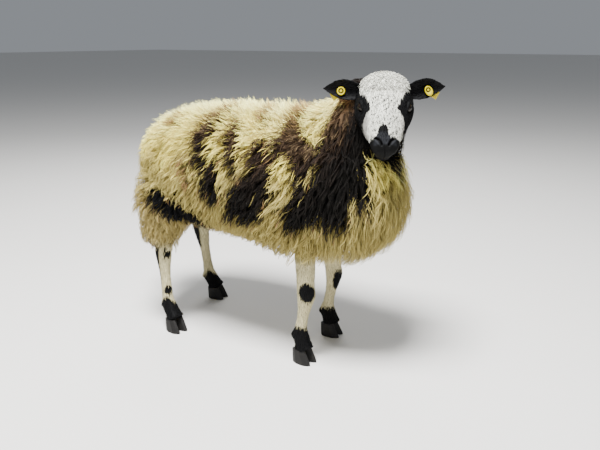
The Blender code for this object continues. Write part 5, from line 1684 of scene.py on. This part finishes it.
def eyeball(side, middle, out, material):
    """An eyeball with a dark brown iris and a level pupil, set in its socket."""
    name = "eye_left" if side > 0 else "eye_right"
    shape = bmesh.new()
    bmesh.ops.create_uvsphere(shape, u_segments=96, v_segments=64, radius=EYE_RADIUS - EYE_SLACK)
    mesh = bpy.data.meshes.new(name + "_ball")
    shape.to_mesh(mesh)
    shape.free()
    p = points_of(mesh)
    level = unit(np.cross(np.array([0, 0, 1.0]), out))
    tall = np.cross(out, level)
    wide, high = p[:, 0], p[:, 1]
    away = np.hypot(wide, high) / EYE_RADIUS
    front = p[:, 2] > 0
    angle = np.arctan2(high, wide)
    streak = 0.85 + 0.25 * np.sin(angle * 37) * np.sin(angle * 13 + 2)
    colour = np.tile(EYE_DARK, (len(p), 1))
    iris = (1 - smooth(*IRIS_EDGE, away)) * front
    colour = mix(colour, IRIS_BROWN, iris) * np.where(iris[:, None] > 0.5, streak[:, None], 1)
    ring = np.exp(-((away - IRIS_RIM) / 0.035) ** 2) * front
    colour = mix(colour, IRIS_RING, ring)
    pupil = (np.abs(wide) / PUPIL[0]) ** 3 + (np.abs(high) / PUPIL[1]) ** 3
    colour = mix(colour, PUPIL_BLACK, (1 - smooth(0.8, 1.2, pupil)) * front)
    bulge = 1 + CORNEA_BULGE * np.exp(-(away / 0.5) ** 2) * front
    p = p * bulge[:, None]
    place = middle + level[None] * p[:, :1] + tall[None] * p[:, 1:2] + out[None] * p[:, 2:3]
    set_points(mesh, place)
    set_colours(mesh, colour)
    smooth_shade(mesh)
    mesh.materials.append(material)
    made = add_object(name + "_ball", mesh)
    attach(made, "root")
    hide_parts(name)


# Section of a tag's front part: share of its thickness, share of its half width, and the dirt and
# painted shade in it
TAG_SECTION = [(0.0, 0.90, 0.0), (0.15, 0.98, 0.0), (0.50, 1.0, 0.0), (0.85, 0.98, 0.0),
               (1.0, 0.90, 0.0), (1.0, 0.70, 0.0), (0.80, 0.64, 0.5), (0.30, 0.60, 1.0),
               (0.30, 0.36, 1.0), (0.75, 0.32, 0.4), (0.90, 0.26, 0.0), (0.90, 0.10, 0.0)]
# Rings of a larger share than this are stretched and slid along the tag
TAG_SLIDES = 0.70


def tag_front(side, material):
    """The moulded front part of a tag: a raised rim, a recess darkened with dirt and painted shade,
    and a stud.
    """
    across = -TAG_DOWN / EAR_HALF
    middle = ear_point(side, TAG_ALONG, across, 0.0)
    way = unit(ear_point(side, TAG_ALONG, across, EAR_WALL) - middle)
    out, tall, _ = ear_axes(side)
    hang = out * math.sin(TAG_SWING) - tall * math.cos(TAG_SWING)
    hang = unit(hang - way * (hang @ way))
    across = np.cross(way, hang)
    stand, half, stretch, slide = TAG_FRONT[side]
    around = 48
    turn = (np.arange(around) * math.tau / around)[:, None]
    rings, dirt_and_shade = [], []
    for rise, share, grime_and_shade in TAG_SECTION:
        outer = share > TAG_SLIDES
        centre = middle + way * (stand + TAG_THICK * rise) + hang * (slide if outer else 0.0)
        long = half * share * (stretch if outer else 1.0)
        rings.append(centre + across * (half * share) * np.cos(turn) + hang * long * np.sin(turn))
        dirt_and_shade += [grime_and_shade] * around
    name = "ear_tag_left_front" if side > 0 else "ear_tag_right_front"
    mesh = grid_mesh(name + "_moulded", np.array(rings))
    # The recess is darkened with dirt and painted shade
    colours = mix(np.tile(TAG_FRONT_YELLOW, (len(mesh.vertices), 1)), TAG_DIRT_AND_SHADE,
                  np.array(dirt_and_shade + [0.0, 0.0]))
    set_colours(mesh, colours)
    smooth_shade(mesh)
    mesh.materials.append(material)
    made = add_object(name + "_moulded", mesh)
    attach(made, "root")
    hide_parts(name)


def dress(node, material):
    """Gives a solid that stays in view its finish."""
    made = bpy.data.objects[node]
    for slot in made.material_slots:
        slot.material = material
    if not made.material_slots:
        made.data.materials.append(material)


# Soft lights: name, place, edge length and power; and the point that they face
LIGHTS = [("key", (0.3, -1.3, 3.8), 1.2, 670), ("fill", (2.6, -1.8, 1.5), 2.2, 22),
          ("rim", (-1.6, 2.0, 2.6), 1.8, 60)]
LIGHTS_FACE = Vector((0, 0, 0.45))
SKY_STRENGTH = 0.36
FLOOR_SIZE = 40.0


def studio():
    """Pale floor, three soft lights and the camera of the photograph."""
    floor = bpy.data.meshes.new("floor")
    shape = bmesh.new()
    bmesh.ops.create_grid(shape, x_segments=1, y_segments=1, size=FLOOR_SIZE)
    shape.to_mesh(floor)
    shape.free()
    ground = add_object("floor", floor)
    made, _, bsdf = blank("matt_floor")
    bsdf.inputs["Base Color"].default_value = rgba(FLOOR_PALE)
    bsdf.inputs["Roughness"].default_value = 0.85
    floor.materials.append(made)
    world = bpy.data.worlds.new("studio")
    bpy.context.scene.world = world
    world.use_nodes = True
    sky = world.node_tree.nodes["Background"]
    sky.inputs["Color"].default_value = rgba(SKY_PALE)
    sky.inputs["Strength"].default_value = SKY_STRENGTH
    for name, spot, size, power in LIGHTS:
        lamp = bpy.data.lights.new(name, "AREA")
        lamp.size = size
        lamp.energy = power
        holder = bpy.data.objects.new(name, lamp)
        holder.location = spot
        holder.rotation_euler = (LIGHTS_FACE - Vector(spot)).to_track_quat("-Z", "Y").to_euler()
        bpy.context.scene.collection.objects.link(holder)
    lens = bpy.data.cameras.new("camera")
    lens.lens = CAMERA_LENS
    camera = bpy.data.objects.new("camera", lens)
    camera.location = CAMERA_AT + SHIFT
    level = Vector((LOOK_X, LOOK_Y, 0.0)).normalized()
    ahead = level * math.cos(CAMERA_DIP) - Vector((0, 0, math.sin(CAMERA_DIP)))
    camera.rotation_euler = ahead.to_track_quat("-Z", "Y").to_euler()
    bpy.context.scene.collection.objects.link(camera)
    bpy.context.scene.camera = camera


def main():
    wool = hair_material("greasy_wool", *GREASY_WOOL)
    hair = hair_material("short_glossy_hair", *SHORT_HAIR)
    skin, body, head = build_skin()
    flesh = ["neck", "chest", "barrel", "rump", "thigh_left", "thigh_right", "tail"]
    flesh += [f"{end}_{side}_leg" for end in ("front", "hind") for side in ("right", "left")]
    on_body, on_skull = (body, tree_of(body)), (head, tree_of(head))
    wool_pieces(on_body, wool)
    short_tufts("poll_curls", on_skull, grows_poll_curls, face_lie, face_paint, head_chart, wool)
    short_tufts("face_hair", on_skull, grows_face_hair, face_lie, face_paint, head_chart, hair)
    short_tufts("nape_wool", on_body, grows_nape_wool, wool_lie, body_paint, trunk_chart, wool)
    short_tufts("ear_hair", on_skull, grows_ear_hair, ear_lie, black_paint, ear_chart, hair)
    short_tufts("leg_hair", on_body, grows_leg_hair, down_lie, body_paint, leg_chart, hair)
    smooth_shade(skin.data)
    skin.data.materials.clear()
    skin.data.materials.append(hair)
    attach(skin, "root")
    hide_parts(*flesh, "head", "ear_left", "ear_right")
    eye = eye_material()
    for side, middle, out in eye_places():
        eyeball(side, middle, out, eye)
    horn, plastic = horn_material(), tag_material()
    for name in FEET:
        for place in ("inner", "outer"):
            dress(f"{name}_hoof_{place}", horn)
    for side, word in ((1, "left"), (-1, "right")):
        tag_front(side, tag_front_material())
        dress(f"ear_tag_{word}_rear", plastic)
    studio()


main()
